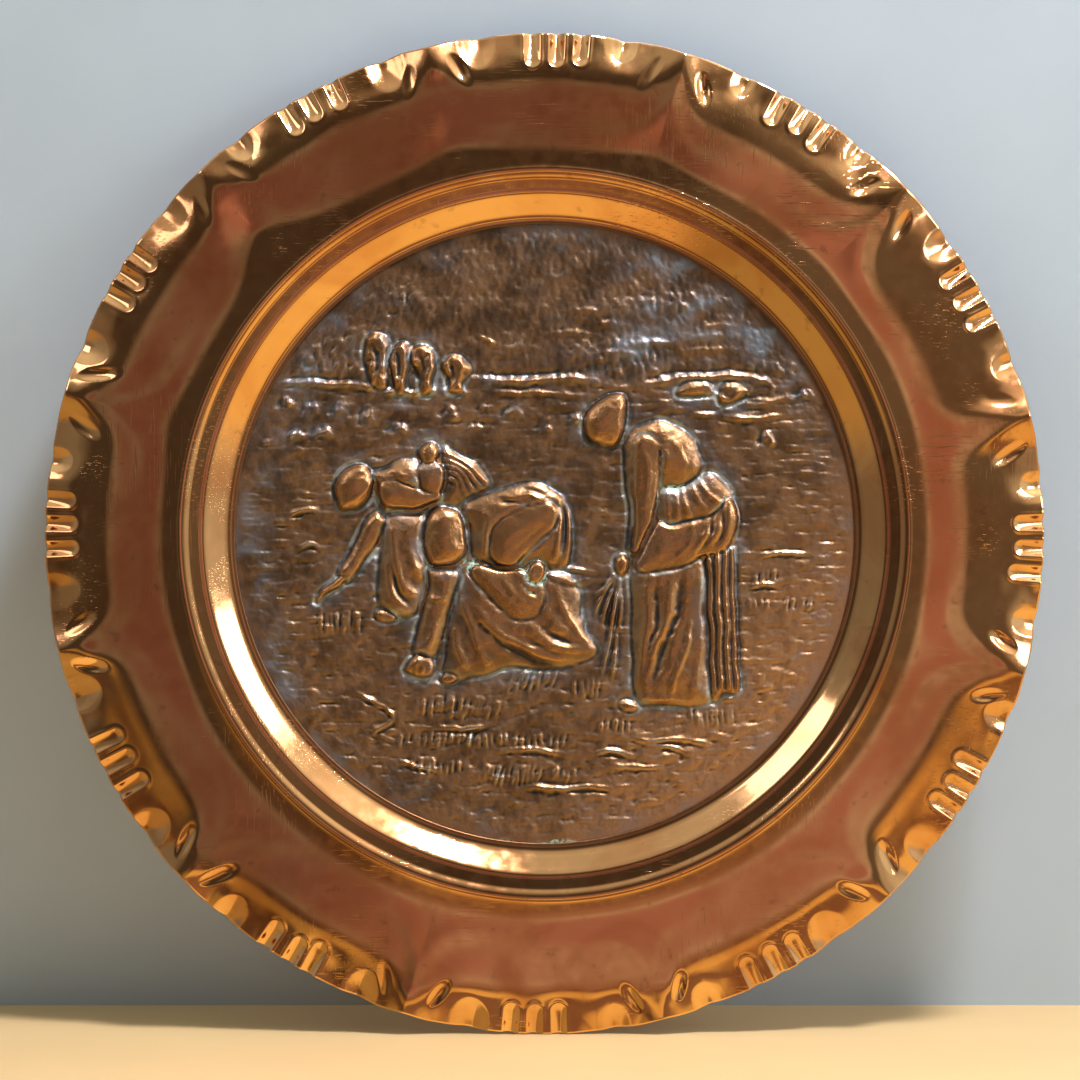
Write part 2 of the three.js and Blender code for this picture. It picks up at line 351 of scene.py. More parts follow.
class HandWork:
    """The differences between lobes that come from crimping a border by hand."""

    def __init__(self, lobes):
        self.panel = np.array(PANEL_RADIUS, float)
        self.band = np.array(BAND_REACH, float)
        self.turn = rng.uniform(-0.4, 0.4, lobes)
        self.flute_shift = rng.uniform(-0.25, 0.25, (lobes, 3))
        self.flute_depth = rng.uniform(0.8, 1.3, (lobes, 3))
        self.flute_start = rng.uniform(185.6, 188.2, (lobes, 3))
        self.ridge_width = rng.uniform(2.1, 3.2, lobes)
        self.panel_ridge = rng.uniform(0.2, 1.0, lobes)
        self.leaf_angle = rng.uniform(2.8, 4.0, (lobes, 2))
        self.leaf_length = rng.uniform(6.5, 9.5, (lobes, 2))
        self.leaf_depth = rng.uniform(0.3, 1.4, (lobes, 2))
        self.thumb_angle = rng.uniform(7.0, 10.0, (lobes, 2))
        self.thumb_size = rng.uniform(0.7, 1.25, (lobes, 2))
        self.thumb_depth = rng.uniform(0.7, 2.0, (lobes, 2))
        self.roll = rng.uniform(0.0, 0.2, (lobes, 2))
        self.edge = rng.uniform(-0.3, 0.1, lobes)


hand = HandWork(LOBES)


def lobe_of(angle):
    """Which lobe each angle is in, and how many degrees it is from that lobe's middle."""
    number = np.round((angle - LOBE_TURN) / LOBE_ANGLE).astype(int)
    return number % LOBES, angle - LOBE_TURN - number * LOBE_ANGLE


def ridge_of(lobe, offset):
    """The ridge nearest to each place: ridge k is between lobes k and k + 1. Also the degrees to it."""
    return np.where(offset < 0, (lobe - 1) % LOBES, lobe), LOBE_ANGLE / 2 - np.abs(offset)


def softened(x, softness):
    """x above 0 and nothing below, with a rounded turn between."""
    return softness * np.logaddexp(0, x / softness)


def crease_radius(lobe, offset):
    """Where the flange bends back: along each lobe, and far out at the ridges between lobes."""
    ridge, away = ridge_of(lobe, offset)
    rise = np.exp(-(away / hand.ridge_width[ridge]) ** 1.5)
    return hand.panel[lobe] + (RIDGE_RADIUS - hand.panel[lobe]) * rise


def panel_fall(lobe, offset):
    """Steepness of the border beyond the crease, the same from both sides at a ridge."""
    steepness = 0.165 + 0.0065 * (hand.panel - 167)
    ridge, away = ridge_of(lobe, offset)
    at_ridge = (steepness[ridge] + steepness[(ridge + 1) % LOBES]) / 2
    return steepness[lobe] + (at_ridge - steepness[lobe]) * (1 - smooth(away, 0, 6))


def flange_height(radius, lobe, offset):
    """The bead, the band beside it and the flange, before the border bends back."""
    ridge, away = ridge_of(lobe, offset)
    reach = hand.band[ridge] * np.exp(-(away / 6.0) ** 1.6)
    end = BAND_END + reach
    fall = BAND_FALL * softened(radius - BAND_START, 0.5)
    fall = fall - (BAND_FALL - FLANGE_FALL) * softened(radius - end, 1.4)
    extra = (BAND_FALL - FLANGE_FALL) * reach * smooth(radius, end, end + 26)
    return curve_through(np.minimum(radius, BAND_START), RIM_SECTION) - fall + extra


def dished(away, edge=1.25):
    """A dish of depth 1: away is 0 in its middle and 1 at its rim."""
    return np.clip(1 - away ** 2, 0, 1) ** edge


def flutes(radius, lobe, offset):
    """Three round-ended grooves in each lobe, deeper towards the edge, where they are open."""
    height = np.zeros(np.broadcast(radius, offset).shape)
    for k, angle in enumerate(FLUTE_ANGLES):
        start = hand.flute_start[lobe, k]
        across = radius * np.radians(offset - angle - hand.flute_shift[lobe, k])
        away = np.hypot(across, np.minimum(radius - start - FLUTE_HALF_WIDTH, 0))
        deepening = 0.3 + 1.1 * np.clip((radius - start) / (PLATE_RADIUS - start), 0, 1.1)
        height -= FLUTE_DEPTH * hand.flute_depth[lobe, k] * deepening * dished(away / FLUTE_HALF_WIDTH)
        height += 0.22 * hump(away - FLUTE_HALF_WIDTH - 0.4, 0.7)
    return height


def thumb_marks(radius, lobe, offset):
    """A dish pressed into the border on each side of the flutes, open at the edge."""
    side = (offset > 0).astype(int)
    across = radius * np.radians(np.abs(offset) - hand.thumb_angle[lobe, side])
    size = hand.thumb_size[lobe, side]
    away = np.hypot(across / (6.6 * size), np.minimum(radius - 198, 0) / (9.5 * size))
    valley = np.clip(1 - np.abs(across + 1.5) / 6.5, 0, 1) * smooth(radius, 186, 198)
    return -hand.thumb_depth[lobe, side] * (0.9 * dished(away, 1.1) + 0.6 * valley)


def leaf_dents(radius, lobe, offset):
    """A leaf-shaped dent on each flank of the ridges, leaning towards the ridge at the edge."""
    side = (offset > 0).astype(int)
    away = LOBE_ANGLE / 2 - np.abs(offset)
    across = radius * np.radians(away - hand.leaf_angle[lobe, side] + 0.11 * (radius - 187))
    leaf = np.hypot(across / 3.2, (radius - 188) / hand.leaf_length[lobe, side])
    return -hand.leaf_depth[lobe, side] * dished(leaf)


def edge_roll(radius, lobe, offset):
    """The last few millimetres turn back a little more, by different amounts."""
    side = (offset > 0).astype(int)
    amount = hand.roll[lobe, side] * smooth(np.abs(offset), 4, 7) * (1 - smooth(np.abs(offset), 11, 14))
    return -amount * softened(radius - 191, 1.2)


def panel_ridge(radius, lobe, offset):
    """The soft ridge that frames each lobe's panel of flange and runs up to the pinches."""
    share = np.abs(offset) / (LOBE_ANGLE / 2)
    ridge, _ = ridge_of(lobe, offset)
    line = 160 + 17 * share ** 6
    steepness = np.radians(LOBE_ANGLE / 2) * 160 / np.maximum(17 * 6 * share ** 5, 1e-6)
    away = (radius - line) * np.minimum(1, steepness / np.sqrt(1 + steepness ** 2))
    return 0.26 * hand.panel_ridge[ridge] * hump(away, 4.5) * share


def rim_front(radius, angle):
    """Height of the rim's front face. radius is a column and angle a row, in degrees."""
    lobe, offset = lobe_of(angle)
    lobe, offset = lobe[None, :], offset[None, :]
    offset = offset - hand.turn[lobe] * np.cos(np.radians(offset * 6)) * smooth(radius, 150, 185)
    height = flange_height(radius, lobe, offset)
    height -= panel_fall(lobe, offset) * softened(radius - crease_radius(lobe, offset), CREASE_SOFTNESS)
    border = smooth(radius, 178, 186)
    height += flutes(radius, lobe, offset) + edge_roll(radius, lobe, offset)
    height += border * (thumb_marks(radius, lobe, offset) + leaf_dents(radius, lobe, offset))
    height += panel_ridge(radius, lobe, offset)
    x, z = radius * np.cos(np.radians(angle)), radius * np.sin(np.radians(angle))
    beaten = lattice_noise(x, z, 13, 13, 3) * 0.5 + lattice_noise(x, z, 6, 6, 4) * 0.1
    height += beaten * (0.07 * smooth(radius, 150, 170) + 0.8 * smooth(radius, 180, 192))
    height += 0.22 * lattice_noise(x, z, 36, 36, 5) * smooth(radius, 148, 165)
    return height


def edge_radius(angle):
    """The outline: nearly round, faintly nicked at the flutes and thumb marks and drawn in at the ridges."""
    lobe, offset = lobe_of(angle)
    side = (offset > 0).astype(int)
    away = np.abs(offset)
    edge = PLATE_RADIUS - 0.45 + hand.edge[lobe] * np.cos(np.radians(offset * 6))
    for flute in FLUTE_ANGLES:
        edge = edge - 0.2 * hump(offset - flute, 0.7)
    edge = edge - 0.35 * hump(away - hand.thumb_angle[lobe, side], 1.0)
    return edge - 0.5 * hump(away - 15, 1.6) + 0.2 * hump(away - 12, 1.5)


def lobe_angles(fine):
    """Sampling angles round the rim, closer together at the flutes and folds."""
    runs = [(0, 5.2, 34), (5.2, 9.8, 18), (9.8, 15, 26)]
    half = np.concatenate([np.linspace(a, b, n, endpoint=False) for a, b, n in runs])
    lobe = np.concatenate([-half[::-1][:-1], half, [15.0]])[: 2 * len(half)]
    if not fine:
        lobe = lobe[::2]
    return np.concatenate([LOBE_TURN + i * LOBE_ANGLE + lobe for i in range(LOBES)])


def make_rim():
    """The rim: its front and back faces as closed rows of points, joined at the edge and the mouth."""
    fine, coarse = lobe_angles(True), lobe_angles(False)
    inner = np.concatenate([np.linspace(124.2, 127.2, 7), np.linspace(127.7, 135.2, 16),
                            np.linspace(135.8, 147, 22), np.linspace(148, 158, 9)])
    outer = np.concatenate([np.linspace(159.2, 184, 26), np.linspace(184.6, 200, 27)])
    stations = [(r, coarse) for r in inner] + [(r, fine) for r in outer]
    back_stations = [(r, coarse) for r in outer[::-3]] + [(r, coarse) for r in inner[::-2]]
    points, rows, seam_shade_mask = [], [], []

    def add_row(radius, angles, behind):
        stretch = (edge_radius(angles) / PLATE_RADIUS - 1) * smooth(radius, 176, 200) + 1
        height = rim_front(np.array([[radius]]), angles)[0]
        at = radius * stretch
        y = GROUND_Y - height + behind
        first = sum(len(r) for r in rows)
        rows.append(list(range(first, first + len(angles))))
        turn = np.radians(angles)
        points.append(np.column_stack([at * np.cos(turn), y, at * np.sin(turn)]))
        # Painted shade in the seam at the mouth, at the foot of the cove and in the groove before the bead.
        seam_shade_amount = hump(radius - 124.2, 1.2) + 0.5 * hump(radius - 137.2, 0.7) + 0.35 * hump(radius - 127.0, 0.8)
        seam_shade_mask.append(np.full(len(angles), seam_shade_amount))

    for radius, angles in stations:
        add_row(radius, angles, 0)
    add_row(outer[-1] + 0.25, fine, 0.2)
    add_row(outer[-1] + 0.25, coarse, SHEET - 0.2)
    for radius, angles in back_stations:
        add_row(radius, angles, SHEET)
    add_row(inner[0] - 0.25, coarse, SHEET - 0.2)
    add_row(inner[0] - 0.25, coarse, 0.2)
    points = np.concatenate(points)
    faces = tube_faces(rows)
    rim = make_object("rim_spun", points, faces, polished_copper(), {"seam_shade": np.concatenate(seam_shade_mask)})
    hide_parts("rim")
    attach(rim, "plate")


# ---- the embossed picture: a canvas of heights -----------------------------------------------------

DRAWN_RADIUS = 127               # the picture's own units: the disc's visible edge is at this radius
PICTURE_SCALE = MOUTH_RADIUS / DRAWN_RADIUS
RELIEF_LIMIT = 6.5               # heights are eased in below this
FOLD_BOLDNESS = 1.45             # how much stronger the folds of the dresses are cut than other strokes
FRONT_CELLS, BACK_CELLS = 480, 120


def spline_points(points, closed, per_span=6):
    """A smooth line through given points."""
    p = np.array(points, float)
    if closed:
        p = np.vstack([p[-1], p, p[0], p[1]])
    else:
        p = np.vstack([2 * p[0] - p[1], p, 2 * p[-1] - p[-2]])
    t = np.linspace(0, 1, per_span, endpoint=False)[:, None]
    runs = []
    for a, b, c, d in zip(p[:-3], p[1:-2], p[2:-1], p[3:]):
        runs.append(0.5 * (2 * b + (c - a) * t + (2 * a - 5 * b + 4 * c - d) * t ** 2
                           + (3 * b - a - 3 * c + d) * t ** 3))
    line = np.vstack(runs)
    return line if closed else np.vstack([line, p[-2]])


class Canvas:
    """Heights over a square grid of cells that is drawn out into the round."""

    def __init__(self, cells):
        steps = np.linspace(-1, 1, cells + 1)
        u, v = np.meshgrid(steps, steps)
        reach = DISC_RADIUS / PICTURE_SCALE
        self.boldness = 1.0
        self.x = reach * u * np.sqrt(1 - v * v / 2)
        self.z = reach * v * np.sqrt(1 - u * u / 2)
        self.height = np.zeros_like(self.x)
        self.green = np.zeros_like(self.x)
        # Painted highlights: pale lines where the metal glints.
        self.painted_glint = np.zeros_like(self.x)
        # Dust, and painted shade along the skyline.
        self.dust_and_shade = np.zeros_like(self.x)
        self.wrinkle = (0.5 * lattice_noise(self.x, self.z, 4.6, 4.6, 51)
                        + 0.32 * lattice_noise(self.x, self.z, 2.1, 2.1, 52)
                        + 0.16 * lattice_noise(self.x, self.z, 1.1, 1.1, 53))
        self.patches = lattice_noise(self.x, self.z, 11, 11, 56)
        self.drift_x = 0.55 * lattice_noise(self.x, self.z, 7, 7, 54)
        self.drift_z = 0.55 * lattice_noise(self.x, self.z, 7, 7, 55)

    def near(self, line, margin):
        """A mask of the cells within margin of a line's box."""
        (x0, z0), (x1, z1) = line.min(0) - margin, line.max(0) + margin
        return (self.x > x0) & (self.x < x1) & (self.z > z0) & (self.z < z1)

    def to_line(self, mask, line, closed):
        """For the masked cells: distance to the line, share of the way along it, and if they are inside."""
        px, pz = (self.x + self.drift_x)[mask], (self.z + self.drift_z)[mask]
        ends = np.roll(line, -1, axis=0) if closed else line[1:]
        starts = line if closed else line[:-1]
        best = np.full(px.shape, 1e9)
        along = np.zeros(px.shape)
        inside = np.zeros(px.shape, bool)
        for k, ((ax, az), (bx, bz)) in enumerate(zip(starts, ends)):
            dx, dz = bx - ax, bz - az
            t = np.clip(((px - ax) * dx + (pz - az) * dz) / max(dx * dx + dz * dz, 1e-9), 0, 1)
            away = np.hypot(px - ax - t * dx, pz - az - t * dz)
            closer = away < best
            best = np.where(closer, away, best)
            along = np.where(closer, (k + t) / len(starts), along)
            if closed and abs(dz) > 1e-9:
                crossing = ((az > pz) != (bz > pz)) & (px < ax + dx * (pz - az) / dz)
                inside ^= crossing
        return best, along, inside

    def pillow(self, points, rise, shoulder, groove=0.45, over=0.0):
        """A rounded form inside a closed outline. It stands rise above what lies under it, or over."""
        line = spline_points(points, True)
        mask = self.near(line, 6)
        away, _, inside = self.to_line(mask, line, True)
        reach = min(2.3 * shoulder, away[inside].max())
        depth = np.clip(away / reach, 0, 1)
        dome = (1 - (1 - depth) ** 2) ** 0.82 * inside
        ground = np.maximum(self.height[mask] * 0.35, over)
        form = ground + (1.15 * rise + 0.85 * self.wrinkle[mask]) * dome
        self.height[mask] = np.where(inside, np.maximum(form, ground), self.height[mask])
        uneven = np.clip(1.0 + 1.1 * self.patches[mask], 0.25, 2.2)
        self.height[mask] -= 0.8 * groove * uneven * hump(away - 0.6, 1.2) * ~inside
        self.height[mask] -= 0.4 * groove * hump(away, 0.5) * inside
        self.height[mask] += 0.25 * groove * hump(away - 2.0, 0.6) * ~inside
        self.painted_glint[mask] *= ~inside
        self.dust_and_shade[mask] *= ~inside
        # Painted highlight: a thin pale line just outside the outline.
        glint_line = (1.0 if over == 0 else 0.8) * hump(away - 1.2, 0.9) * ~inside
        self.painted_glint[mask] = np.maximum(self.painted_glint[mask], glint_line)
        if over == 0:
            dust = np.clip(0.55 + 0.8 * self.patches[mask], 0, 1) * np.exp(-(away / 5.5) ** 2)
            self.dust_and_shade[mask] = np.maximum(self.dust_and_shade[mask], dust * ~inside)

    def stroke(self, points, rise, width, taper=True, curved=True, glint=0.0):
        """A raised line, or a sunk one if rise is negative. Its last argument paints a pale highlight along
        it.
        """
        line = spline_points(points, False, 4) if curved else np.array(points, float)
        mask = self.near(line, 3 * width)
        away, along, _ = self.to_line(mask, line, False)
        fade = np.sqrt(np.clip(np.sin(np.pi * np.clip(along, 0.02, 0.98)), 0, 1)) if taper else 1.0
        self.height[mask] += self.boldness * rise * fade * hump(away, width)
        if glint > 0:
            self.painted_glint[mask] = np.maximum(self.painted_glint[mask], glint * fade * hump(away, 0.9 * width))

    def height_at(self, x, z):
        """Height of the cell nearest to a place."""
        return self.height.flat[np.argmin(np.abs(self.x - x) + np.abs(self.z - z))]

    def mound(self, x, z, wide, tall, rise):
        """A soft bump."""
        reach = np.hypot((self.x - x) / wide, (self.z - z) / tall)
        self.height += rise * np.exp(-reach ** 2.0)

    def dust(self, x, z, wide, tall, amount):
        """Grey dust that has settled round a place."""
        reach = np.hypot((self.x - x) / wide, (self.z - z) / tall)
        self.dust_and_shade = np.maximum(self.dust_and_shade, amount * np.exp(-reach ** 4))


def draw_ground(c):
    """Field and sky before the figures: hammer stipple above the skyline, raked dashes below it."""
    sky = smooth(c.z, 58, 64)
    pecks = lattice_noise(c.x, c.z, 1.5, 2.4, 21)
    fine = lattice_noise(c.x, c.z, 0.9, 1.2, 22)
    soft = lattice_noise(c.x, c.z, 9, 6, 23)
    clouds = smooth(lattice_noise(c.x, c.z, 26, 9, 24), 0.0, 0.7)
    c.height += sky * (0.27 * pecks + 0.20 * fine + 0.25 * soft + clouds * (0.35 + 0.35 * pecks))
    c.dust_and_shade = 0.8 * sky * smooth(c.x, -30, 60) * smooth(soft, -0.6, 0.6) + 0.25 * clouds * sky
    dashes = lattice_noise(c.x, c.z, 6.5, 1.25, 31)
    clods = lattice_noise(c.x, c.z, 3.2, 1.9, 32)
    swell = lattice_noise(c.x, c.z, 34, 13, 33)
    nearer = smooth(-c.z, 10, 90)
    c.height += (1 - sky) * (0.30 * dashes + (0.26 + 0.12 * nearer) * clods + 0.35 * swell + 0.16 * fine)


def draw_tree(c, x, z, wide, tall):
    """A lumpy upright crown that narrows to its foot, raised on the right with a painted highlight there, and
    hollowed on the left.
    """
    crown = [(-0.35, -1.1), (-0.75, -0.3), (-1.0, 0.3), (-0.75, 0.85), (0.0, 1.05), (0.7, 0.8), (1.0, 0.2),
             (0.85, -0.4), (0.4, -1.1)]
    outline = [(x + wide * (u + rng.uniform(-0.24, 0.24)), z + tall * (v + rng.uniform(-0.1, 0.1)))
               for u, v in crown]
    c.pillow(outline, 2.3, 4, groove=0.5)
    lean = rng.uniform(-0.15, 0.15) * wide
    c.stroke([(x - 0.35 * wide, z + 0.6 * tall), (x - 0.15 * wide + lean, z),
              (x - 0.1 * wide, z - 0.9 * tall)], -1.5, 1.0)
    # Painted highlight: a pale line along the raised right side.
    c.stroke([(x + 0.15 * wide, z + 0.9 * tall), (x + 0.5 * wide, z + 0.3 * tall),
              (x + 0.2 * wide, z - 0.8 * tall)], 0.9, 0.8, glint=0.4)
    for share in np.linspace(-0.6, 0.8, 6):
        c.mound(x + rng.uniform(-0.8, 0.8) * wide, z + share * tall, 1.0, 1.2, rng.choice([-1.0, 0.9, 1.3]))
    for side in (-1, 1):
        c.stroke([(x, z - 0.5 * tall), (x + 0.4 * side * wide, z - 0.9 * tall),
                  (x + 0.9 * side * wide, z - 1.3 * tall)], 1.2, 0.9)


def draw_rick(c, x, z, wide, tall):
    """A small rough heap with a hollow behind it on the left."""
    c.dust(x - 0.3 * wide, z, wide * 1.3, tall * 1.2, 0.5)
    c.mound(x - wide, z - 0.2, wide * 0.55, tall * 0.8, -0.8)
    c.mound(x + 0.1 * wide, z - 0.2 * tall, wide * 0.75, tall * 0.6, 0.9)
    for _ in range(3):
        dx, dz = rng.uniform(-0.7, 0.7) * wide, rng.uniform(-0.6, 0.6) * tall
        c.mound(x + dx, z + dz, 0.9, 1.1, rng.choice([-0.6, 0.7]))
    c.stroke([(x - wide, z - tall), (x - wide * 0.2, z + tall * 0.8)], 0.6, 0.6, curved=False)
    c.stroke([(x - wide * 0.1, z + tall * 0.8), (x + wide, z - tall)], 0.5, 0.6, curved=False)


def draw_skyline(c):
    """The far edge of the field, low trees, ricks and a cart, and a bird."""
    # Painted shade: a bluish dull band along the skyline ridge, carried with the dust.
    c.dust_and_shade = np.maximum(c.dust_and_shade, 0.75 * hump(c.z - 62.5, 3.2) * smooth(c.wrinkle, -0.5, 0.3))
    # The skyline ridges carry painted pale highlight lines.
    c.stroke([(-120, 61), (-98, 61.5), (-77, 60), (-66, 58), (-52, 57.5), (-36, 58)], 1.2, 1.1, glint=0.5)
    c.stroke([(-120, 63.6), (-98, 64), (-77, 62.6)], -0.8, 1.3)
    c.stroke([(-32, 63), (-20, 62.5), (-8, 62.3), (3, 63.5), (16, 63), (28, 60)], 1.1, 1.2, glint=0.5)
    c.stroke([(-32, 65.6), (-20, 65), (-8, 65), (3, 66), (14, 65.6)], -0.8, 1.3)
    c.stroke([(-24, 57), (-8, 57.5), (4, 57), (18, 56)], 0.9, 0.9)
    c.stroke([(38, 60), (48, 62), (58, 63.6), (70, 64), (82, 63.8), (94, 63)], 1.2, 1.1, glint=0.5)
    c.stroke([(42, 63.4), (52, 65.6), (62, 66.6), (76, 66.8), (90, 66.2)], -0.7, 1.2)
    c.stroke([(38, 54.5), (50, 53.5), (62, 53)], 0.6, 0.9)
    c.stroke([(36, 51.5), (48, 51.8), (60, 50.5)], 0.8, 0.9)
    for x, z, wide, tall in [(-68, 71, 5.2, 10.0), (-59, 68.5, 4.4, 9.6), (-49, 67.5, 5.0, 9.4),
                             (-36.5, 65.8, 5.4, 7.6)]:
        draw_tree(c, x, z, wide, tall)
    for x, z, wide, tall in [(-105, 53.5, 3, 3), (-95, 51.5, 3.6, 4.4), (-83, 50.5, 3.6, 4),
                             (-72, 48.5, 3, 4.2), (-90.5, 42, 4, 3.6), (-38, 49, 3.6, 3.4),
                             (-12, 49.5, 5, 3.6), (-25, 51, 2.4, 2), (0, 43.5, 3, 2), (-60, 43, 4, 2),
                             (107, 57, 4, 2.6), (91, 38.5, 3, 4), (-101, 41, 3.4, 2.4), (-28, 44, 3, 2),
                             (13, 47, 3, 2.2)]:
        draw_rick(c, x, z, wide, tall)
    c.pillow([(54, 56.5), (56, 61), (62, 62.5), (68, 61), (68.5, 57), (61, 56)], 1.3, 3, groove=0.3)
    c.pillow([(71, 54), (73, 61), (79, 61), (82, 56), (77, 53.5)], 1.1, 3, groove=0.3)
    c.stroke([(65, 53), (67, 57.5), (70, 57), (74, 55), (77, 54.5), (80, 58), (84, 57),
              (88, 58.5)], 0.9, 0.7)
    c.stroke([(83, 56), (85, 61), (90, 62.5), (93, 60), (92, 56.5)], 0.8, 0.8)
    c.stroke([(80, 52), (90, 52.5), (97, 55), (99, 58)], 0.8, 0.9)
    for x, z, half in [(64, 48.3, 5), (76, 47.8, 4.5), (92, 47.5, 3.5), (84, 46.5, 9), (50, 49.5, 6)]:
        c.stroke([(x - half, z), (x, z + 0.3), (x + half, z)], 0.8, 0.8)
    # Painted pale highlight along the bird's wings.
    c.stroke([(-28.5, 81), (-23, 78.6), (-17.5, 75.6)], 1.0, 0.55, glint=1.0)
    c.stroke([(-17.5, 75.4), (-13.5, 76), (-10, 78.3)], 0.8, 0.5, glint=0.9)
    for x0, x1, z in [(14, 40, 72.5), (14, 30, 70), (32, 54, 76.8), (54, 80, 74), (2, 20, 81),
                      (64, 78, 84), (20, 34, 84.5), (6, 24, 90), (58, 74, 79.5)]:
        c.stroke([(x0, z), ((x0 + x1) / 2, z + 1.2), (x1, z + 0.4)], 0.6, 1.1)


def draw_left_worker(c):
    """Stooping, one arm folded behind the back with a sheaf, the other reaching for the ground."""
    c.pillow([(-66, 6), (-67, -6), (-67.6, -18), (-67.6, -28), (-65, -31.5), (-60, -34), (-54, -33),
              (-50, -26), (-48, -14), (-48, -2), (-49, 7), (-57, 8)], 3.0, 7)
    c.stroke([(-62, 1), (-60.5, -12), (-57, -22), (-51, -26)], 1.1, 1.5)
    c.stroke([(-64.5, -10), (-62.5, -22), (-57, -31)], 0.8, 1.5)
    c.stroke([(-56, -4), (-53.5, -12), (-50, -18)], 0.9, 1.4)
    c.stroke([(-61, -16), (-59.5, -24), (-55, -29)], -0.8, 1.3)
    c.pillow([(-42, 35.5), (-34, 31.5), (-27, 28), (-22.5, 21.5), (-23.5, 18), (-30, 15), (-36, 12),
              (-41, 13.5)], 1.8, 4)
    for reach in (0, 0.25, 0.5, 0.75, 1):
        tip = (-22.8 - 12 * reach, 19.5 - 6 * reach)
        c.stroke([(-43, 34 - 12 * reach), (-34 - 3 * reach, 29.5 - 8 * reach), tip], 0.9, 0.75)
        c.stroke([(-42, 33 - 12 * reach), (-33.4 - 3 * reach, 27.9 - 8 * reach),
                  (tip[0], tip[1] - 1.6)], -0.6, 0.6)
    c.pillow([(-69, 9), (-65, 5.5), (-68, -3), (-72.5, -10.5), (-77.5, -18), (-81, -20), (-84.2, -16),
              (-80, -8.5), (-76, -1), (-73, 5)], 2.2, 3.4)
    c.pillow([(-80.5, -18.5), (-84.5, -22.5), (-90, -25.6), (-93.4, -28.2), (-91.5, -23.6), (-87, -20.2),
              (-84, -17.6)], 1.6, 1.8)
    c.stroke([(-85, -20.5), (-89, -23.4), (-92.5, -27)], 0.5, 0.5)
    c.pillow([(-71, 25.5), (-65, 27), (-60, 29.6), (-54, 30.6), (-48, 30.4), (-43.5, 28), (-41, 24),
              (-41.4, 18), (-45, 13.5), (-51, 10.6), (-58, 9), (-65.4, 9.4), (-67.6, 13), (-68.4, 19),
              (-70, 22.5)], 3.9, 7.5)
    c.pillow([(-67, 19.5), (-62, 22.5), (-55, 20.5), (-49, 19), (-43.5, 18), (-42.4, 15), (-47, 12.2),
              (-55, 10.6), (-62, 10.4), (-66.4, 13)], 1.7, 4, groove=0.3, over=2.6)
    c.pillow([(-50.6, 29), (-45, 30), (-41.6, 27), (-41.4, 20), (-43.6, 16), (-48, 17),
              (-51, 20)], 1.8, 3, groove=0.4, over=2.6)
    c.pillow([(-52.2, 33), (-50.4, 36), (-46.6, 37), (-43.2, 35), (-42.8, 31.4), (-45.4, 28.6),
              (-49.8, 28.8)], 3.4, 3)
    for x in (-50, -47.8, -45.6):
        c.stroke([(x, 35.4), (x + 0.5, 32.6)], -0.5, 0.5, curved=False)
    c.stroke([(-62, 26), (-58, 23.5), (-53, 24)], 0.6, 1.0)
    c.pillow([(-86.2, 18), (-84.6, 23.6), (-80.4, 27.4), (-75.6, 28.2), (-71.6, 26.4), (-69.8, 22),
              (-70.6, 16), (-73.4, 11.8), (-78, 9.6), (-82.4, 9.4), (-84.6, 13)], 4.4, 7.5)
    c.stroke([(-68.6, 24.4), (-71.4, 19.8), (-75, 15.6), (-81.6, 10.6)], 0.8, 0.8)
    c.stroke([(-77, 22.5), (-74.5, 23.5), (-72.6, 22)], -0.5, 0.8)
    c.mound(-83.6, 12.4, 1.5, 1.6, 0.5)
    c.pillow([(-67.6, -31), (-63, -32), (-60.5, -35), (-64, -36.4), (-68.6, -34.8)], 1.2, 1.6)


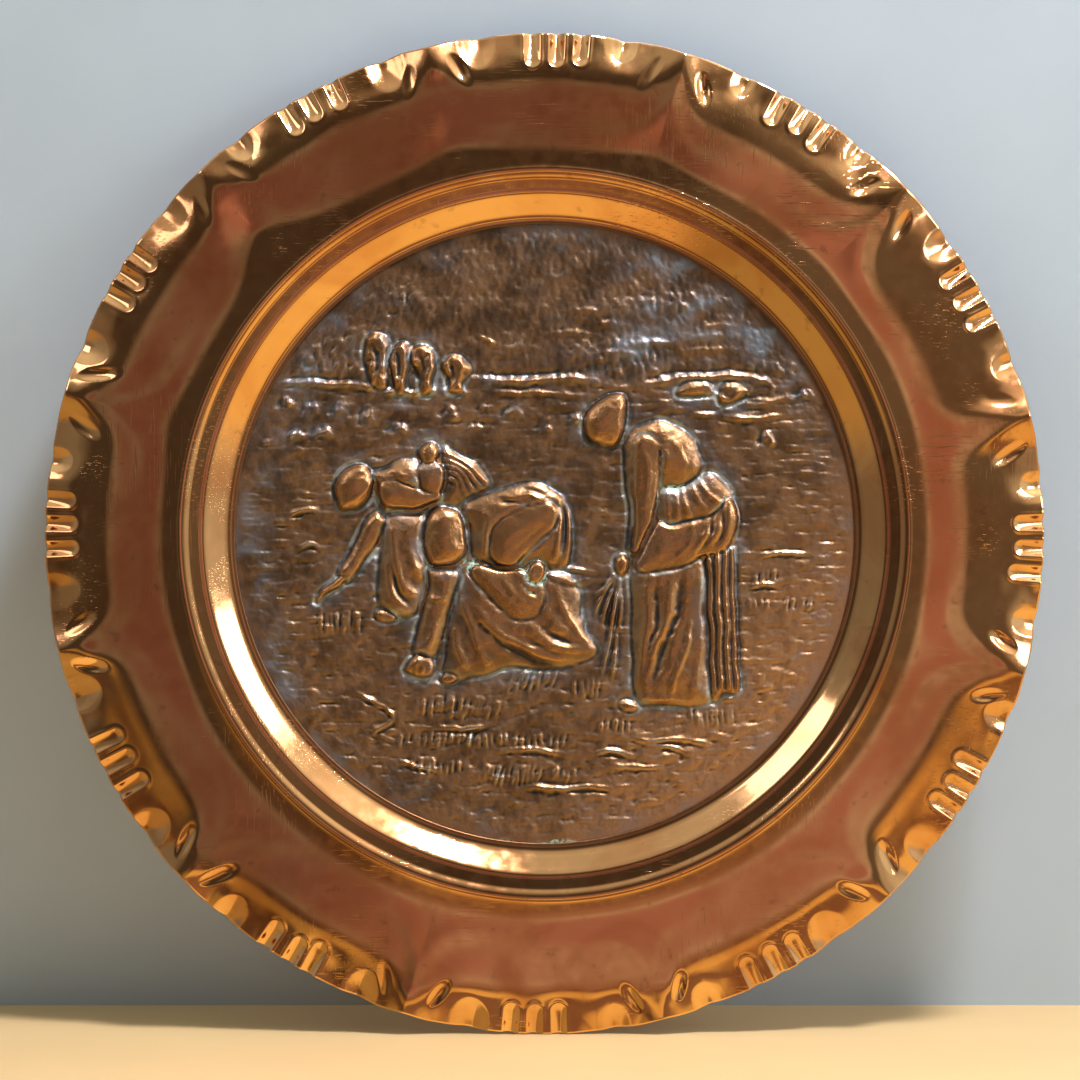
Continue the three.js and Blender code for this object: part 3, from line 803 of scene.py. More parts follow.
def draw_middle_worker(c):
    """Bent deepest: a broad skirt, a filled apron, one hand on the ground, the other behind the hip."""
    c.pillow([(-35.6, -14), (-37.4, -25), (-39.4, -38), (-40.2, -50), (-41.4, -57), (-36, -60),
              (-29, -58.6), (-22, -56.8), (-15, -54.2), (-8, -54.2), (2, -55), (12, -54), (19.5, -50.4),
              (21, -46.4), (17.4, -41), (15, -33), (13.6, -23), (5, -14), (-10, -11),
              (-25, -11)], 3.4, 8)
    for line, rise in [([(-34, -24), (-31, -36), (-27, -47), (-22, -54)], 1.2),
                       ([(-37, -38), (-35.5, -48), (-31, -55)], 0.9),
                       ([(-30, -28), (-22, -38), (-12, -45), (2, -50.5), (10, -51)], 1.2),
                       ([(-7, -38), (0, -44), (8, -47.5), (16, -48.5)], 1.1),
                       ([(4, -22), (8, -32), (14, -41), (18, -46)], 0.8),
                       ([(-33, -32), (-29.5, -43), (-25, -52)], -0.9),
                       ([(-26, -37), (-17, -45), (-5, -51), (4, -53)], -1.0),
                       ([(-3, -36), (4, -41.5), (12, -45)], -0.8),
                       ([(0, -30), (5, -37), (12, -43)], 0.7)]:
        c.stroke(line, rise, 1.7)
    c.pillow([(-46.4, -14), (-35.4, -16), (-36.6, -25), (-39.4, -35), (-43, -47), (-46.4, -51),
              (-51, -50.4), (-54, -47.6), (-51.6, -36), (-49.4, -28), (-47.4, -20)], 2.6, 4.2)
    c.stroke([(-47.6, -25.6), (-44, -27), (-39.6, -26)], 0.7, 0.9)
    c.stroke([(-42, -30), (-45, -40), (-48, -47)], 0.6, 1.3)
    c.pillow([(-52.6, -49.6), (-47, -50.4), (-45, -53.6), (-46, -57.4), (-50.4, -58.6), (-55, -57.4),
              (-57.4, -55)], 2.2, 2.6)
    for x in (-54, -51.4, -48.8):
        c.stroke([(x + 0.8, -53.6), (x, -57.2)], -0.5, 0.55, curved=False)
    c.pillow([(-42, -57.4), (-38, -57), (-36, -59.6), (-39, -61.4), (-42.4, -60)], 1.4, 1.6)
    c.pillow([(-33.4, 8), (-32, 12), (-27, 15.4), (-20, 17), (-11, 19.8), (-4, 20.8), (2.6, 19),
              (8, 14.4), (10.6, 7), (11.2, -1), (10.2, -12.4), (3, -14), (-8, -13), (-17, -14.6),
              (-25, -12.6), (-29.4, -8), (-30.4, 0), (-31.6, 5)], 4.4, 8.5)
    c.stroke([(9.6, 11), (10.2, 2), (9.4, -11)], 0.8, 0.8)
    c.stroke([(5.4, 13), (6.8, 6), (5.6, -2), (3.8, -11)], 0.9, 0.8)
    c.stroke([(7.6, 12), (8.5, 4), (7, -9)], -0.9, 0.9)
    c.stroke([(-19, 17), (-13, 14.4), (-8, 12)], 0.7, 1.1)
    c.stroke([(-18, 12.2), (-12, 12.8), (-5, 10.6)], -0.9, 1.0)
    c.stroke([(-15, 18.6), (-10, 15.4), (-6, 16), (-1, 13.4), (4, 13)], 0.7, 0.8)
    c.stroke([(-9, 18.4), (-4, 17), (1, 15.4)], -0.6, 0.7)
    c.stroke([(-25, 9), (-22.6, 4), (-24.6, -3), (-24, -9)], 0.7, 1.2)
    c.pillow([(-22.4, -3), (-21.4, 2.6), (-17.4, 7), (-10, 9.6), (-3, 12), (2.8, 12.4), (5.6, 8.8),
              (4, 3), (-2, -2.6), (-8, -8), (-13, -12.6), (-19, -12), (-22, -8)], 2.0, 5, groove=0.7,
              over=3.4)
    c.stroke([(-16, -2), (-9, 3), (-2, 7)], 0.6, 1.6)
    c.stroke([(-14, -8.6), (-6, -2), (1, 4.4)], -0.4, 1.0)
    c.pillow([(-30.4, -15), (-27, -21), (-22, -27), (-17, -32), (-12.4, -35.4), (-6, -35.6),
              (-1.4, -32.4), (0.2, -26), (-2.6, -18), (-9, -14.4), (-18, -15), (-26, -12.8)], 1.9, 4.5,
              groove=0.7, over=2.9)
    for line in [[(-24, -19), (-16, -26), (-9, -32)], [(-18, -18), (-12, -25), (-6, -30)],
                 [(-12, -18), (-8, -24), (-3, -28)]]:
        c.stroke(line, 0.7, 0.9)
    c.stroke([(-14, -16), (-9, -22), (-5, -25), (-1, -21)], -0.9, 1.3)
    c.pillow([(-6.6, -14), (-4, -11.4), (-0.6, -12), (0.4, -15.4), (-1.4, -19.4), (-5, -20),
              (-6.8, -17)], 2.0, 2.4, over=3.0)
    c.stroke([(-0.5, -13), (6, -14.2), (13, -14.8), (20, -15.8)], 1.1, 0.7)
    c.stroke([(-0.5, -15), (5, -18), (11, -20), (15, -20)], 1.0, 0.8)
    c.stroke([(3, -15.4), (9, -17.6), (18, -18.6)], 0.7, 0.7)
    c.pillow([(-49.8, -2), (-49.4, 4), (-47, 8.6), (-42.6, 11), (-37.4, 10.4), (-33.8, 6.6), (-32.6, 0),
              (-31.4, -7), (-34.4, -11.6), (-40, -13.4), (-46, -12.6), (-49, -8)], 5.0, 9.5, groove=0.8)
    c.stroke([(-36, 9.6), (-33.6, 3), (-32.8, -4), (-30, -9.6)], 0.6, 0.8)
    c.stroke([(-41, 4.6), (-38.4, 1.4), (-41.4, -2)], 0.4, 1.0)
    c.stroke([(-45, -3.4), (-43.4, -8), (-40, -9.8)], -0.45, 0.9)
    c.stroke([(-44.6, 4), (-46.6, -1), (-46, -6)], -0.3, 1.2)


def draw_right_worker(c):
    """Half upright: a hunched trunk, one arm straight down, a long skirt with a pleated back."""
    c.pillow([(36, -13), (35.6, -30), (36, -50), (36.8, -64), (39.6, -69.2), (50, -70.2), (61, -69.8),
              (68, -67), (67.4, -52), (66.4, -34), (66, -12), (58, -8), (46, -8)], 3.6, 7.5)
    for line, rise, width in [([(42, -18), (42, -34), (40, -50), (38.6, -62)], 0.9, 1.8),
                              ([(56.4, -15), (54, -32), (48, -48), (44, -63)], -1.3, 2.0),
                              ([(52, -17), (49.6, -34), (44.6, -48), (41.4, -62)], 0.9, 1.5),
                              ([(60, -34), (57.6, -46), (54, -56), (51.4, -67)], 1.1, 1.0),
                              ([(62.6, -16), (63.4, -36), (62.4, -54), (60, -67)], 0.6, 1.8),
                              ([(46, -20), (45.6, -34), (43, -46)], -0.7, 1.3),
                              ([(40, -66), (48, -67.4), (58, -67)], 0.6, 1.2)]:
        c.stroke(line, rise, width)
    c.pillow([(66, -8), (66.4, -30), (67.4, -50), (68.6, -67.6), (73, -65.4), (79.4, -62.4), (78.4, -40),
              (77.2, -18), (76.6, -4), (71, -3)], 1.9, 2.6)
    for top, foot in [(67.2, 69.2), (70.6, 72.4), (73.8, 75.6), (76.6, 78.6)]:
        c.stroke([(top, -6), ((top + foot) / 2 - 0.4, -36), (foot, -63.4)], 0.95, 0.8, taper=False)
        c.stroke([(top + 1.6, -7), ((top + foot) / 2 + 1.2, -36), (foot + 1.4, -62.8)], -0.6, 0.7,
                  taper=False)
    c.pillow([(45, 21), (55, 20), (62, 23), (68, 24.6), (74, 20), (77.6, 14), (78.4, 6), (70, 2), (58, 0),
              (46, 1)], 3.2, 5)
    for line in [[(50, 19), (49.6, 11), (50.6, 5)], [(56, 19), (57, 12), (60, 6)], [(60, 20), (63, 13),
                 (67, 9)], [(63, 21.6), (67, 16), (72, 12)], [(53, 18), (53.4, 11), (55, 5)]]:
        c.stroke(line, 0.8, 0.8)
    c.pillow([(45.6, 4.6), (42, -2), (38.4, -9), (37.4, -14), (42, -15.8), (50, -14.8), (58, -12.8),
              (63.4, -9.8), (70, -8), (75.6, -4.4), (78.4, 2), (78.6, 9), (75.4, 13.8), (71.4, 10),
              (66, 6.6), (58, 4.8), (51, 3.6)], 2.0, 5, over=2.6)
    for line, rise in [([(60, 5), (60.4, -1), (57, -7), (50, -13)], 0.6), ([(66, 6), (65.6, -1),
                       (60, -9)], 0.7), ([(70.6, 9), (70, 0), (66, -7)], 0.6), ([(74.6, 12), (75, 3),
                       (72, -5)], 0.6), ([(68, 7), (67.6, -2), (63, -8)], -0.6), ([(72.8, 9), (72.8, 0),
                       (69, -6)], -0.6), ([(45, 2.6), (54, 1.8), (61, 3.4)], 0.5)]:
        c.stroke(line, rise, 0.9)
    c.pillow([(32.6, 37), (35.6, 42), (41, 45.2), (48, 45.8), (55, 43), (60.4, 38.4), (63.6, 32),
              (64.2, 26.4), (61.4, 21.8), (56, 18.8), (48, 18.6), (43, 15), (40, 4), (36.4, -7),
              (33.4, -6), (34.2, 6), (33.8, 16), (32.4, 28)], 4.2, 8)
    c.stroke([(49, 40), (54, 36), (57, 30), (56.4, 24)], 0.5, 1.5)
    c.pillow([(37.4, 37.4), (42, 39.8), (46.8, 36.4), (47, 28), (46.4, 20), (45.2, 10), (42, 1),
              (38, -7.6), (35.6, -5), (37.2, 5), (36.8, 16), (36.6, 28)], 1.5, 3.6, groove=0.6, over=3.4)
    c.stroke([(39.4, 35.6), (42.6, 28), (42.2, 18), (41.6, 9)], 0.7, 1.0)
    c.stroke([(44, 38), (49, 33.6), (51.6, 27)], 0.5, 1.0)
    c.stroke([(43.2, 9), (41.4, 3), (38, -4)], 0.7, 0.9)
    c.pillow([(28.6, -11.4), (30, -8.6), (33.2, -8), (35, -10.6), (34.4, -14.6), (32, -17.2),
              (29.4, -15.4)], 2.4, 2.4)
    c.stroke([(31, -11), (31.6, -15.6)], -0.5, 0.6, curved=False)
    c.pillow([(15.8, 44.6), (17, 49.4), (21.2, 53.8), (27, 57), (32.6, 57.2), (34.2, 52), (33.4, 44),
              (31.4, 38.6), (28, 35.2), (22.4, 36), (18, 38.6)], 4.8, 8.5, groove=0.8)
    c.stroke([(33.4, 54), (30.4, 48), (30.8, 42), (29.4, 36)], 0.55, 0.9)
    c.stroke([(25, 53.6), (29, 51.6), (31.6, 53)], -0.45, 0.9)
    c.stroke([(20.4, 42.8), (24.6, 43.6), (28.4, 42)], -0.3, 1.0)
    c.pillow([(30.6, -69.4), (34, -68), (38, -69.4), (37, -72), (32, -72.4)], 1.2, 1.4)
    for start, knee, tip in [((29, -16), (25, -22), (20, -26)), ((29.6, -17), (26, -28), (23, -38)),
                             ((30.4, -17), (28.6, -30), (27.4, -44)), ((31, -18), (30.6, -30),
                             (30.4, -40)), ((28.6, -18), (23, -27), (20.6, -34)), ((29.6, -22), (27, -38),
                             (24, -52)), ((28.4, -30), (26, -46), (22.6, -58)), ((29, -36), (28.6, -50),
                             (27, -60))]:
        # Painted pale highlight along each stalk of the sheaf.
        c.stroke([start, knee, tip], 1.0, 0.7, glint=0.7)
        c.stroke([(start[0] + 1.1, start[1]), (knee[0] + 1.1, knee[1]),
                  (tip[0] + 1.1, tip[1])], -0.4, 0.6)


def stubble(c, left, right, top, length, count, lean):
    """A row of short cut straws."""
    for x in np.linspace(left, right, count):
        x += rng.uniform(-0.6, 0.6)
        z = top + rng.uniform(-1, 1)
        reach = length * rng.uniform(0.7, 1.2)
        foot = (x - lean * reach, z - reach)
        # Painted pale highlight along each straw.
        c.stroke([(x, z), foot], rng.uniform(0.8, 1.5), 0.55, curved=False, glint=rng.uniform(0.3, 0.9))
        c.stroke([(x + 0.9, z), (foot[0] + 0.9, foot[1])], -0.5, 0.5, curved=False)


def draw_foreground(c):
    """Stubble, fallen stalks, a twig and small tufts in front of the workers."""
    for row in [(-91, -75, -32, 8, 8, 0.05), (-12, 4, -56, 8, 11, 0.35), (-49, -34, -66, 7, 7, 0.1),
                (-36, -18, -68, 7, 11, 0.3), (-58, -30, -81, 5, 12, 0.2), (-30, 8, -82, 5, 14, 0.1),
                (-53, -34, -93, 5, 8, 0.1), (-24, -2, -95, 7, 14, 0.25), (4, 12, -96, 4, 5, 0.1),
                (13, 22, -60, 7, 6, 0.0), (60, 76, -72, 7, 9, -0.1), (24, 34, -76, 5, 5, 0.1),
                (86, 94, -16, 5, 4, 0.0), (99, 108, -27, 5, 4, 0.1), (84, 91, -27, 3, 4, 0.0)]:
        stubble(c, *row)
    for line in [[(30, -83), (42, -84.5), (56, -84), (70, -87)], [(40, -86), (50, -87), (60, -90)],
                 [(27, -94.4), (38, -95.6), (48, -94)], [(-9, -103.4), (6, -104.4), (18, -103.4),
                 (28, -105)], [(-20, -89), (-8, -88), (6, -89.4)], [(20, -90), (28, -89), (36, -91)],
                 [(-70, -69), (-65, -71), (-62, -76), (-70, -82), (-63, -84)], [(-75, -66), (-69, -68.6)],
                 [(-58, -93), (-50, -96), (-42, -97)], [(-44, -78.6), (-32, -79.6), (-20, -78)],
                 [(88, -9), (98, -8), (108, -9)], [(84, -22), (90, -20.6), (96, -22)], [(-104, 8),
                 (-98, 10), (-92, 9)], [(-100, -6), (-95, -4), (-92, -6)]]:
        # Painted pale highlight along each fallen stalk.
        c.stroke(line, 1.2, 0.75, glint=0.8)
        c.stroke([(x, z - 1.6) for x, z in line], -0.5, 0.8)
    for _ in range(230):
        x, z = rng.uniform(-115, 115), rng.uniform(-112, 52)
        if math.hypot(x, z) < 117 and c.height_at(x, z) < 0.9:
            half = rng.uniform(1.2, 4.2)
            c.stroke([(x - half, z), (x, z + rng.uniform(-0.5, 0.5)), (x + half, z)],
                     rng.choice([0.35, 0.5, -0.35]), 0.6)


def stain_edges(c):
    """Verdigris in the deepest folds and in the seam at the foot, and dust along the disc's edge."""
    away = np.hypot(c.x, c.z)
    c.green = hump(np.hypot((c.x + 6) / 7, (c.z + 18) / 6), 1)
    c.green = c.green + 0.8 * hump(np.hypot((c.x + 30) / 5, (c.z + 13) / 3), 1)
    c.green += 0.5 * hump(np.hypot((c.x - 52) / 9, (c.z - 16) / 6), 1)
    patches = smooth(lattice_noise(c.x, c.z, 12, 12, 61), 0.0, 0.6) * (c.z < -60)
    c.green += smooth(away, 123, 126.5) * (patches + hump((c.x + 2) / 14, 1) * (c.z < 0))
    dusty_side = 0.45 + 0.35 * smooth(-c.x, 20, 110)
    uneven = smooth(lattice_noise(c.x, c.z, 9, 9, 62), -0.5, 0.5)
    c.dust_and_shade += dusty_side * smooth(away, 104, 124) * uneven


def draw_picture(cells):
    """The whole picture, from the ground up to the nearest stalks, eased to nothing at the edge."""
    c = Canvas(cells)
    draw_ground(c)
    draw_skyline(c)
    c.boldness = FOLD_BOLDNESS
    draw_left_worker(c)
    draw_middle_worker(c)
    draw_right_worker(c)
    c.boldness = 1.0
    draw_foreground(c)
    c.height = blurred(c.height, 1)
    fade = smooth(DRAWN_RADIUS - np.hypot(c.x, c.z), 1.0, 7.0)
    c.height = RELIEF_LIMIT * np.tanh(c.height / RELIEF_LIMIT) * fade
    stain_edges(c)
    return c


def grid_indices(cells, first):
    """Point indices of a square grid, in rows."""
    return np.arange((cells + 1) ** 2).reshape(cells + 1, cells + 1) + first


def grid_faces(cells, first, flip):
    """The grid's square faces. flip turns them to face the other way."""
    at = grid_indices(cells, first)
    corners = [at[:-1, :-1], at[:-1, 1:], at[1:, 1:], at[1:, :-1]]
    faces = np.stack([corner.ravel() for corner in corners], axis=1)
    return (faces[:, ::-1] if flip else faces).tolist()


def grid_boundary(cells, first):
    """The grid's outer points, in order round it."""
    at = grid_indices(cells, first)
    return [int(i) for i in (*at[0, :-1], *at[:-1, -1], *at[-1, :0:-1], *at[:0:-1, 0])]


def patina_attributes(front, behind_count):
    """How rubbed, sunk, green and warm the patina is at each point, where it has dust and painted shade, and
    where painted highlights go: the picture, then the back.
    """
    wide = front.height - blurred(front.height, 14)
    tight = front.height - blurred(front.height, 3)
    hollow = np.clip(-1.3 * wide - 1.6 * tight, 0, 1.2)
    warmth = smooth(front.x - 0.8 * front.z, 60, 170) + 0.15 * smooth(-front.z, 0, 90)
    values = {
        "raised": np.clip(0.20 * front.height + 0.5 * wide + 1.0 * tight, 0, 1.2),
        "hollow": hollow,
        "verdigris": front.green * (0.35 + 1.3 * np.clip(hollow, 0, 1)),
        "painted_glint": front.painted_glint,
        "dust_and_shade": np.clip(front.dust_and_shade, 0, 1),
        "warmth": warmth,
    }
    plain_back = {"raised": 0.3}
    return {key: np.concatenate([grid.ravel(), np.full(behind_count, plain_back.get(key, 0.0))])
            for key, grid in values.items()}


def make_relief():
    """The embossed disc: the picture in front, a softer and coarser copy of it behind."""
    front = draw_picture(FRONT_CELLS)
    x, z = front.x * PICTURE_SCALE, front.z * PICTURE_SCALE
    y_front = GROUND_Y - front.height * PICTURE_SCALE
    y_back = GROUND_Y + SHEET - blurred(front.height, 6) * PICTURE_SCALE
    y_back[[0, -1], :] = GROUND_Y + SHEET
    y_back[:, [0, -1]] = GROUND_Y + SHEET
    step = slice(None, None, FRONT_CELLS // BACK_CELLS)
    points = np.column_stack([x.ravel(), y_front.ravel(), z.ravel()])
    behind = np.column_stack([grid[step, step].ravel() for grid in (x, y_back, z)])
    faces = grid_faces(FRONT_CELLS, 0, False) + grid_faces(BACK_CELLS, len(points), True)
    faces += band_faces(grid_boundary(BACK_CELLS, len(points)), grid_boundary(FRONT_CELLS, 0))
    attributes = patina_attributes(front, len(behind))
    disc = make_object("relief_embossed", np.vstack([points, behind]), faces, patinated_copper(), attributes)
    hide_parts("relief_disc")
    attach(disc, "plate")


# ---- back: clamp ring, solder, strap, hanging ring -------------------------------------------------

CLAMP_WIDTH = 9.5
EDGE_EASE = 0.2
STRAP_THICKNESS = 0.45
STRAP_EYE_DEPTH, STRAP_EYE_HEIGHT = 2.1, 2.5     # half the size of the strap's oval eye


def make_clamp_ring(material):
    """A flat ring with eased edges, slightly uneven, as cut from sheet."""
    low, high = box_mm("retaining_ring")
    front, back, outer = low[1], high[1], high[0]
    inner, ease = outer - CLAMP_WIDTH, EDGE_EASE
    section = [(inner, front + ease), (inner + ease, front), (outer - ease, front), (outer, front + ease),
               (outer, back - ease), (outer - ease, back), (inner + ease, back), (inner, back - ease)]
    angles = np.radians(np.arange(0, 360, 1.5))
    wander = 0.12 * np.sin(5 * angles + 1) + 0.08 * np.sin(17 * angles)
    rows, points = [], []
    for radius, y in section:
        at = radius + (wander if radius < inner + 1 else 0) * np.ones_like(angles)
        rows.append(list(range(len(rows) * len(angles), (len(rows) + 1) * len(angles))))
        points.append(np.column_stack([at * np.cos(angles), np.full_like(angles, y), at * np.sin(angles)]))
    ring = make_object("clamp_ring", np.concatenate(points), tube_faces(rows), material)
    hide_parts("retaining_ring")
    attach(ring, "plate")


def make_solder(node, material, seed):
    """A frozen blob of solder in the box of its CAD node: domed, lumpy and spread at the foot."""
    low, high = box_mm(node)
    middle, half = (low + high) / 2, (high - low) / 2
    long_way = math.atan2(middle[0], middle[2]) if half[0] > 1.5 and half[2] > 1.5 else 0.0
    if long_way:
        half = np.array([4.0, half[1], 1.5])
    rows, points = [], []
    around, up = 40, 18
    turn = np.linspace(0, 2 * math.pi, around, endpoint=False)
    for k in range(up + 1):
        tip = math.pi * (k + 0.02) / (up + 0.04)
        ring = np.column_stack([math.sin(tip) * np.cos(turn), np.full(around, -math.cos(tip)),
                                math.sin(tip) * np.sin(turn)])
        lumps = lattice_noise(ring[:, 0] * 3 + ring[:, 1], ring[:, 2] * 3 - ring[:, 1], 1.1, 1.1, seed)
        ring = np.sign(ring) * np.abs(ring) ** 0.85 * (1 + 0.10 * lumps[:, None]) * 0.95
        rows.append([len(points) * around + i for i in range(around)])
        points.append(ring * half)
    body = np.concatenate(points)
    c, s = math.cos(long_way), math.sin(long_way)
    body = np.column_stack([body[:, 0] * c + body[:, 2] * s, body[:, 1], -body[:, 0] * s + body[:, 2] * c])
    faces = tube_faces(rows, close=False) + [rows[0], rows[-1][::-1]]
    blob = make_object(node + "_blob", body + middle, faces, material)
    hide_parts(node)
    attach(blob, "plate")


def make_strap(material):
    """A thin strip folded round the ring's wire, its two ends laid together on the rim's back."""
    low, high = box_mm("hanger_strap")
    ring_low, ring_high = box_mm("hanging_ring")
    eye_z = ring_high[2] - (ring_high[1] - ring_low[1]) / 2 - 0.1
    leg_rows = np.linspace(eye_z, high[2], 5)[:, None]
    rim_back = GROUND_Y + SHEET - rim_front(leg_rows, np.linspace(89, 91, 5)).mean()
    leg_y = rim_back + STRAP_THICKNESS / 2
    second_y = leg_y + STRAP_THICKNESS + 0.02
    eye_y = leg_y + STRAP_EYE_DEPTH
    over = eye_z + STRAP_EYE_HEIGHT
    path = [(leg_y, high[2]), (leg_y, (high[2] + eye_z) / 2), (leg_y, eye_z + 1)]
    for a in np.radians(np.arange(180, 451, 30)):
        path.append((eye_y + STRAP_EYE_DEPTH * math.cos(a), eye_z + STRAP_EYE_HEIGHT * math.sin(a)))
    path += [(second_y + 0.75, over), (second_y + 0.1, over + 0.7), (second_y, over + 1.6),
             (second_y, high[2] - 0.3)]
    line = spline_points(path, False, 4)
    heading = np.gradient(line, axis=0)
    heading /= np.linalg.norm(heading, axis=1)[:, None]
    across = np.column_stack([-heading[:, 1], heading[:, 0]]) * STRAP_THICKNESS / 2
    half = (high[0] - low[0]) / 2
    points, rows = [], []
    for x, fullness in [(-half, 0.75), (-half + 0.12, 1.0), (half - 0.12, 1.0), (half, 0.75)]:
        outline = np.vstack([line + across * fullness, (line - across * fullness)[::-1]])
        rows.append([len(points) * len(outline) + i for i in range(len(outline))])
        points.append(np.column_stack([np.full(len(outline), x), outline]))
    faces = tube_faces(rows, close=False)
    for side in (rows[0], rows[-1]):
        faces += [[side[i], side[i + 1], side[-i - 2], side[-i - 1]] for i in range(len(line) - 1)]
    strap = make_object("strap_folded", np.concatenate(points), faces, material)
    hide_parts("hanger_strap")
    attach(strap, "plate")


def make_hanging_ring(material):
    """A ring of round wire, with the slight swelling of its brazed joint at the bottom."""
    low, high = box_mm("hanging_ring")
    wire = (high[1] - low[1]) / 2
    middle = (low + high) / 2
    mean_radius = (high[0] - low[0]) / 2 - wire
    around, section = 128, 20
    rows, points = [], []
    for k in range(around):
        a = 2 * math.pi * k / around
        from_joint = a - 1.5 * math.pi
        joint = 1 + 0.10 * math.exp(-(from_joint / 0.09) ** 2) - 0.12 * math.exp(-(from_joint / 0.02) ** 2)
        rows.append([len(points) + i for i in range(section)])
        for i in range(section):
            b = 2 * math.pi * i / section
            out = mean_radius + wire * joint * math.cos(b)
            points.append((middle[0] + out * math.cos(a), middle[1] + wire * joint * math.sin(b),
                           middle[2] + out * math.sin(a)))
    ring = make_object("ring_of_wire", points, tube_faces(rows), material)
    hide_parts("hanging_ring")
    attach(ring, "hanging_ring")


# ---- stage ----------------------------------------------------------------------------------------

def plain_material(name, colour, roughness):
    """A quiet, slightly uneven surface for the floor and wall."""
    n = Nodes(name)
    tone = n.noise(60, 3)
    tinted = n.blend(n.fit(tone, 0.3, 0.7), colour, tuple(0.96 * v for v in colour))
    return n.finish(Base_Color=tinted, Roughness=roughness, Normal=n.bump(n.noise(2, 3), 0.1, 0.1))


def one_sided(material):
    """Clears the back of a backdrop, so that it never hides the object from behind."""
    tree = material.node_tree
    out = tree.nodes["Material Output"]
    shown = tree.nodes["Principled BSDF"].outputs[0]
    clear = tree.nodes.new("ShaderNodeBsdfTransparent")
    side = tree.nodes.new("ShaderNodeNewGeometry")
    mix = tree.nodes.new("ShaderNodeMixShader")
    tree.links.new(side.outputs["Backfacing"], mix.inputs[0])
    tree.links.new(shown, mix.inputs[1])
    tree.links.new(clear.outputs[0], mix.inputs[2])
    tree.links.new(mix.outputs[0], out.inputs["Surface"])


FLOOR_Z = -PLATE_RADIUS
FLOOR_HALF_WIDTH = 1600
FLOOR_FRONT = -1500
FLOOR_BACK = 1500
WALL_FOOT_Y = 78.0               # the wall leans over the plate, as a wall does to a plate propped against it
WALL_LEAN = 9.0
WALL_HEIGHT = 1700


def make_flat(name, corners, material):
    """One plane of the stage, which the metal does not mirror."""
    piece = make_object(name, corners, [[0, 1, 2, 3]], material)
    piece.visible_glossy = False


def make_stage():
    """A floor under the plate and a wall behind it."""
    x = FLOOR_HALF_WIDTH
    make_flat("floor", [(-x, FLOOR_FRONT, FLOOR_Z), (x, FLOOR_FRONT, FLOOR_Z), (x, FLOOR_BACK, FLOOR_Z),
                        (-x, FLOOR_BACK, FLOOR_Z)], plain_material("stage_floor",
                        (0.58, 0.40, 0.21), 0.55))
    wall_material = plain_material("stage_wall", (0.42, 0.51, 0.65), 0.8)
    one_sided(wall_material)
    lean = math.radians(WALL_LEAN)
    top_y, top_z = WALL_FOOT_Y - WALL_HEIGHT * math.sin(lean), FLOOR_Z + WALL_HEIGHT * math.cos(lean)
    make_flat("wall", [(-x, WALL_FOOT_Y, FLOOR_Z), (x, WALL_FOOT_Y, FLOOR_Z), (x, top_y, top_z),
                       (-x, top_y, top_z)], wall_material)


def area_light(name, place_mm, aim_mm, size_mm, power, colour):
    """A soft light, out of the camera's sight."""
    light = bpy.data.lights.new(name, "AREA")
    light.shape = "RECTANGLE"
    light.size, light.size_y = size_mm[0] * MM, size_mm[1] * MM
    light.energy = power
    light.color = colour
    lamp = bpy.data.objects.new(name, light)
    bpy.context.scene.collection.objects.link(lamp)
    place = Vector(place_mm) * MM
    lamp.location = place
    lamp.rotation_euler = (Vector(aim_mm) * MM - place).to_track_quat("-Z", "Y").to_euler()
    lamp.visible_camera = False


# What the metal mirrors, by the sine of the angle away from straight ahead: a dim warm room in front,
# then a lit strip and a dark one, and past them the pale ceiling above or the wooden shelf below.
AHEAD = [(0.0, (0.49, 0.28, 0.23)), (0.05, (0.42, 0.235, 0.20)), (0.10, (0.33, 0.19, 0.16)),
         (0.17, (0.34, 0.20, 0.165))]
ROOM_ABOVE = AHEAD + [(0.215, (0.44, 0.41, 0.33)), (0.26, (0.29, 0.27, 0.205)), (0.31, (0.118, 0.108, 0.082)),
                      (0.60, (0.122, 0.115, 0.086)), (0.68, (0.27, 0.28, 0.21)), (0.78, (0.42, 0.45, 0.35)),
                      (0.88, (0.42, 0.46, 0.36)), (1.0, (0.68, 0.80, 0.68))]
ROOM_BELOW = AHEAD + [(0.22, (0.40, 0.25, 0.17)), (0.32, (0.33, 0.21, 0.135)), (0.39, (0.17, 0.11, 0.07)),
                      (0.46, (0.66, 0.48, 0.15)), (0.57, (0.82, 0.62, 0.19)), (0.63, (0.20, 0.13, 0.075)),
                      (0.75, (0.26, 0.165, 0.09)), (0.81, (0.84, 0.64, 0.19)), (1.0, (1.0, 0.82, 0.30))]
ROOM_WANDER = 0.26
BELOW_TO_ABOVE = (-0.36, -0.12)       # the room changes from floor to walls over these heights
BRIGHTER_TOWARDS = (9.0, 0.0, -4.2)   # the room is brighter to the right and below
DIM_SIDE, BRIGHT_SIDE = 0.58, 1.35
BACKDROP = (0.50, 0.56, 0.62)


def room_colour(n, direction):
    """Bands by the angle from straight ahead, with wandering edges, one set above and one below."""
    sine = n.vector("LENGTH", n.vector("MULTIPLY", direction, (1, 0, 1)), output="Value")
    uneven = n.add("ShaderNodeTexNoise", {"Vector": direction, "Scale": 3.0, "Detail": 3.0}).outputs["Fac"]
    wander = n.math("MULTIPLY", n.math("SUBTRACT", uneven, 0.5), n.fit(sine, 0.1, 0.5, 0, ROOM_WANDER))
    band = n.math("ADD", sine, wander, clamp=True)
    height = n.add("ShaderNodeSeparateXYZ", {0: direction}).outputs["Z"]
    return n.blend(n.fit(height, *BELOW_TO_ABOVE), n.ramp(band, ROOM_BELOW), n.ramp(band, ROOM_ABOVE))


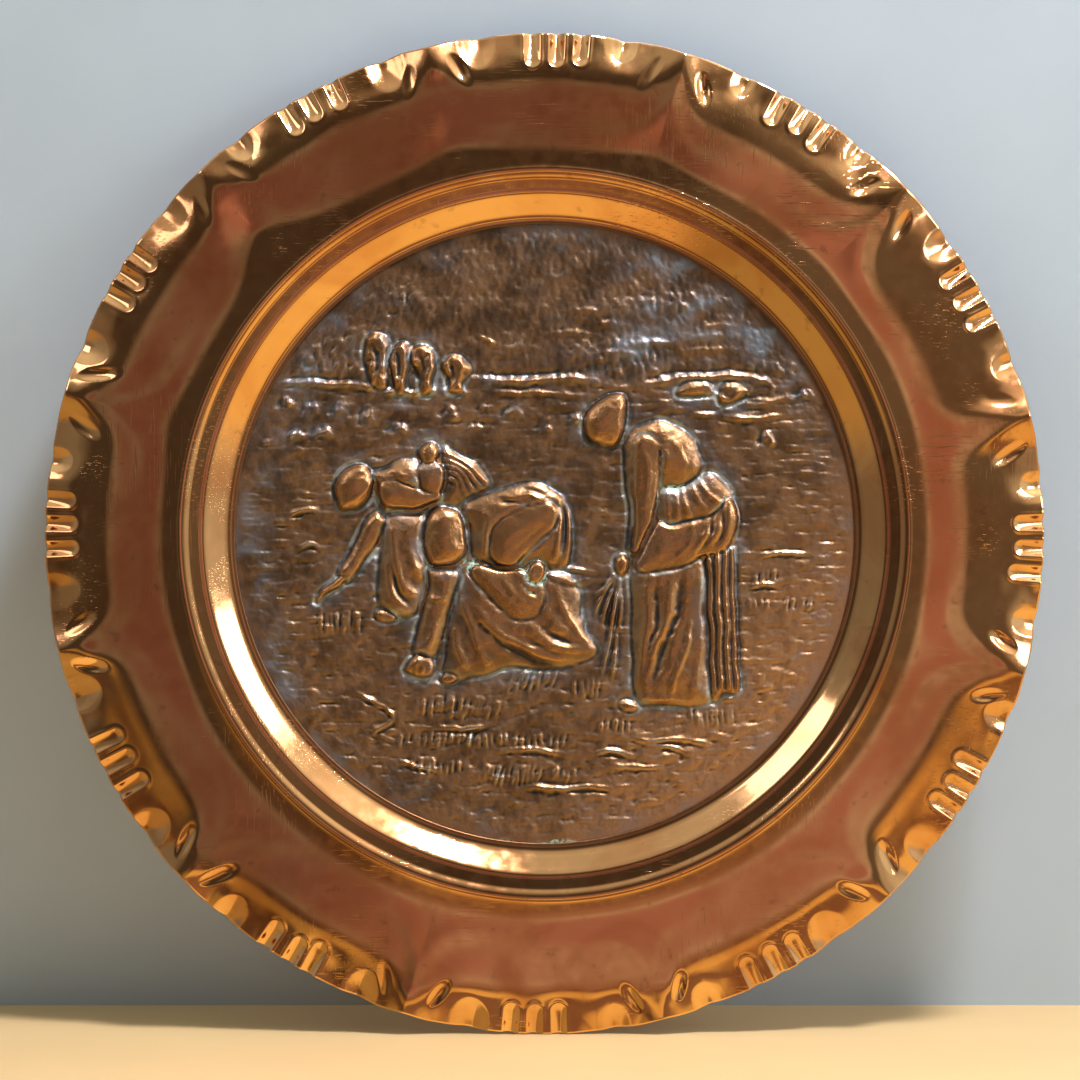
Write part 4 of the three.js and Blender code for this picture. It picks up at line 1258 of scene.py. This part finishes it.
def make_world():
    """A room for the metal to mirror, with a plain pale backdrop for the camera."""
    n = Nodes("room", bpy.data.worlds)
    bpy.context.scene.world = n.owner
    direction = n.add("ShaderNodeTexCoord").outputs["Generated"]
    towards = n.vector("DOT_PRODUCT", direction, BRIGHTER_TOWARDS, output="Value")
    height = n.add("ShaderNodeSeparateXYZ", {0: direction}).outputs["Z"]
    overhead = n.fit(height, 0.3, 0.95, 0.82, 2.0)
    strength = n.math("MULTIPLY", n.fit(towards, -0.5, 0.5, DIM_SIDE, BRIGHT_SIDE), overhead)
    room = n.add("ShaderNodeBackground", {"Color": room_colour(n, direction), "Strength": strength})
    backdrop = n.add("ShaderNodeBackground", {"Color": BACKDROP})
    camera_ray = n.add("ShaderNodeLightPath").outputs["Is Camera Ray"]
    mixed = n.add("ShaderNodeMixShader", {0: camera_ray, 1: room.outputs[0], 2: backdrop.outputs[0]})
    n.put(n.tree.nodes["World Output"].inputs["Surface"], mixed.outputs[0])


def make_lights():
    """A key from above, two fills at the sides and one from behind."""
    area_light("key", (430, -560, 1340), (0, 0, 0), (260, 260), 36, (1.0, 0.98, 0.94))
    area_light("right_fill", (1150, -500, 500), (650, 120, 100), (500, 500), 6, (0.95, 0.98, 1.0))
    area_light("window", (-900, -650, 800), (0, 0, 0), (420, 420), 1.5, (0.95, 0.97, 1.0))
    area_light("from_behind", (300, 1500, 1100), (0, 0, 0), (900, 900), 14, (1.0, 0.98, 0.95))
    bpy.context.scene.view_settings.view_transform = "Standard"


CAMERA_DISTANCE = 1250
FRAME_SHARE = 0.928              # of the picture's width that the plate takes
SHIFT_RIGHT = 0.0042
SHIFT_UP = 0.006


def make_camera():
    """A camera straight in front, far enough away to see the plate nearly flat."""
    camera = bpy.data.cameras.new("camera")
    camera.sensor_width = 36
    camera.lens = camera.sensor_width * FRAME_SHARE * CAMERA_DISTANCE / (2 * PLATE_RADIUS)
    camera.shift_x = -SHIFT_RIGHT
    camera.shift_y = -SHIFT_UP
    viewer = bpy.data.objects.new("camera", camera)
    bpy.context.scene.collection.objects.link(viewer)
    viewer.location = (0, -CAMERA_DISTANCE * MM, 0)
    viewer.rotation_euler = (math.pi / 2, 0, 0)
    bpy.context.scene.camera = viewer


# ---- assembly -------------------------------------------------------------------------------------

make_camera()
make_rim()
make_relief()
back_copper = dull_copper()
make_clamp_ring(back_copper)
solder = soft_solder()
for number in range(1, 9):
    make_solder(f"solder_tack_0{number}", solder, 40 + number)
make_solder("hanger_solder_left", solder, 61)
make_solder("hanger_solder_right", solder, 62)
make_strap(back_copper)
make_hanging_ring(brass_wire())
make_stage()
make_world()
make_lights()
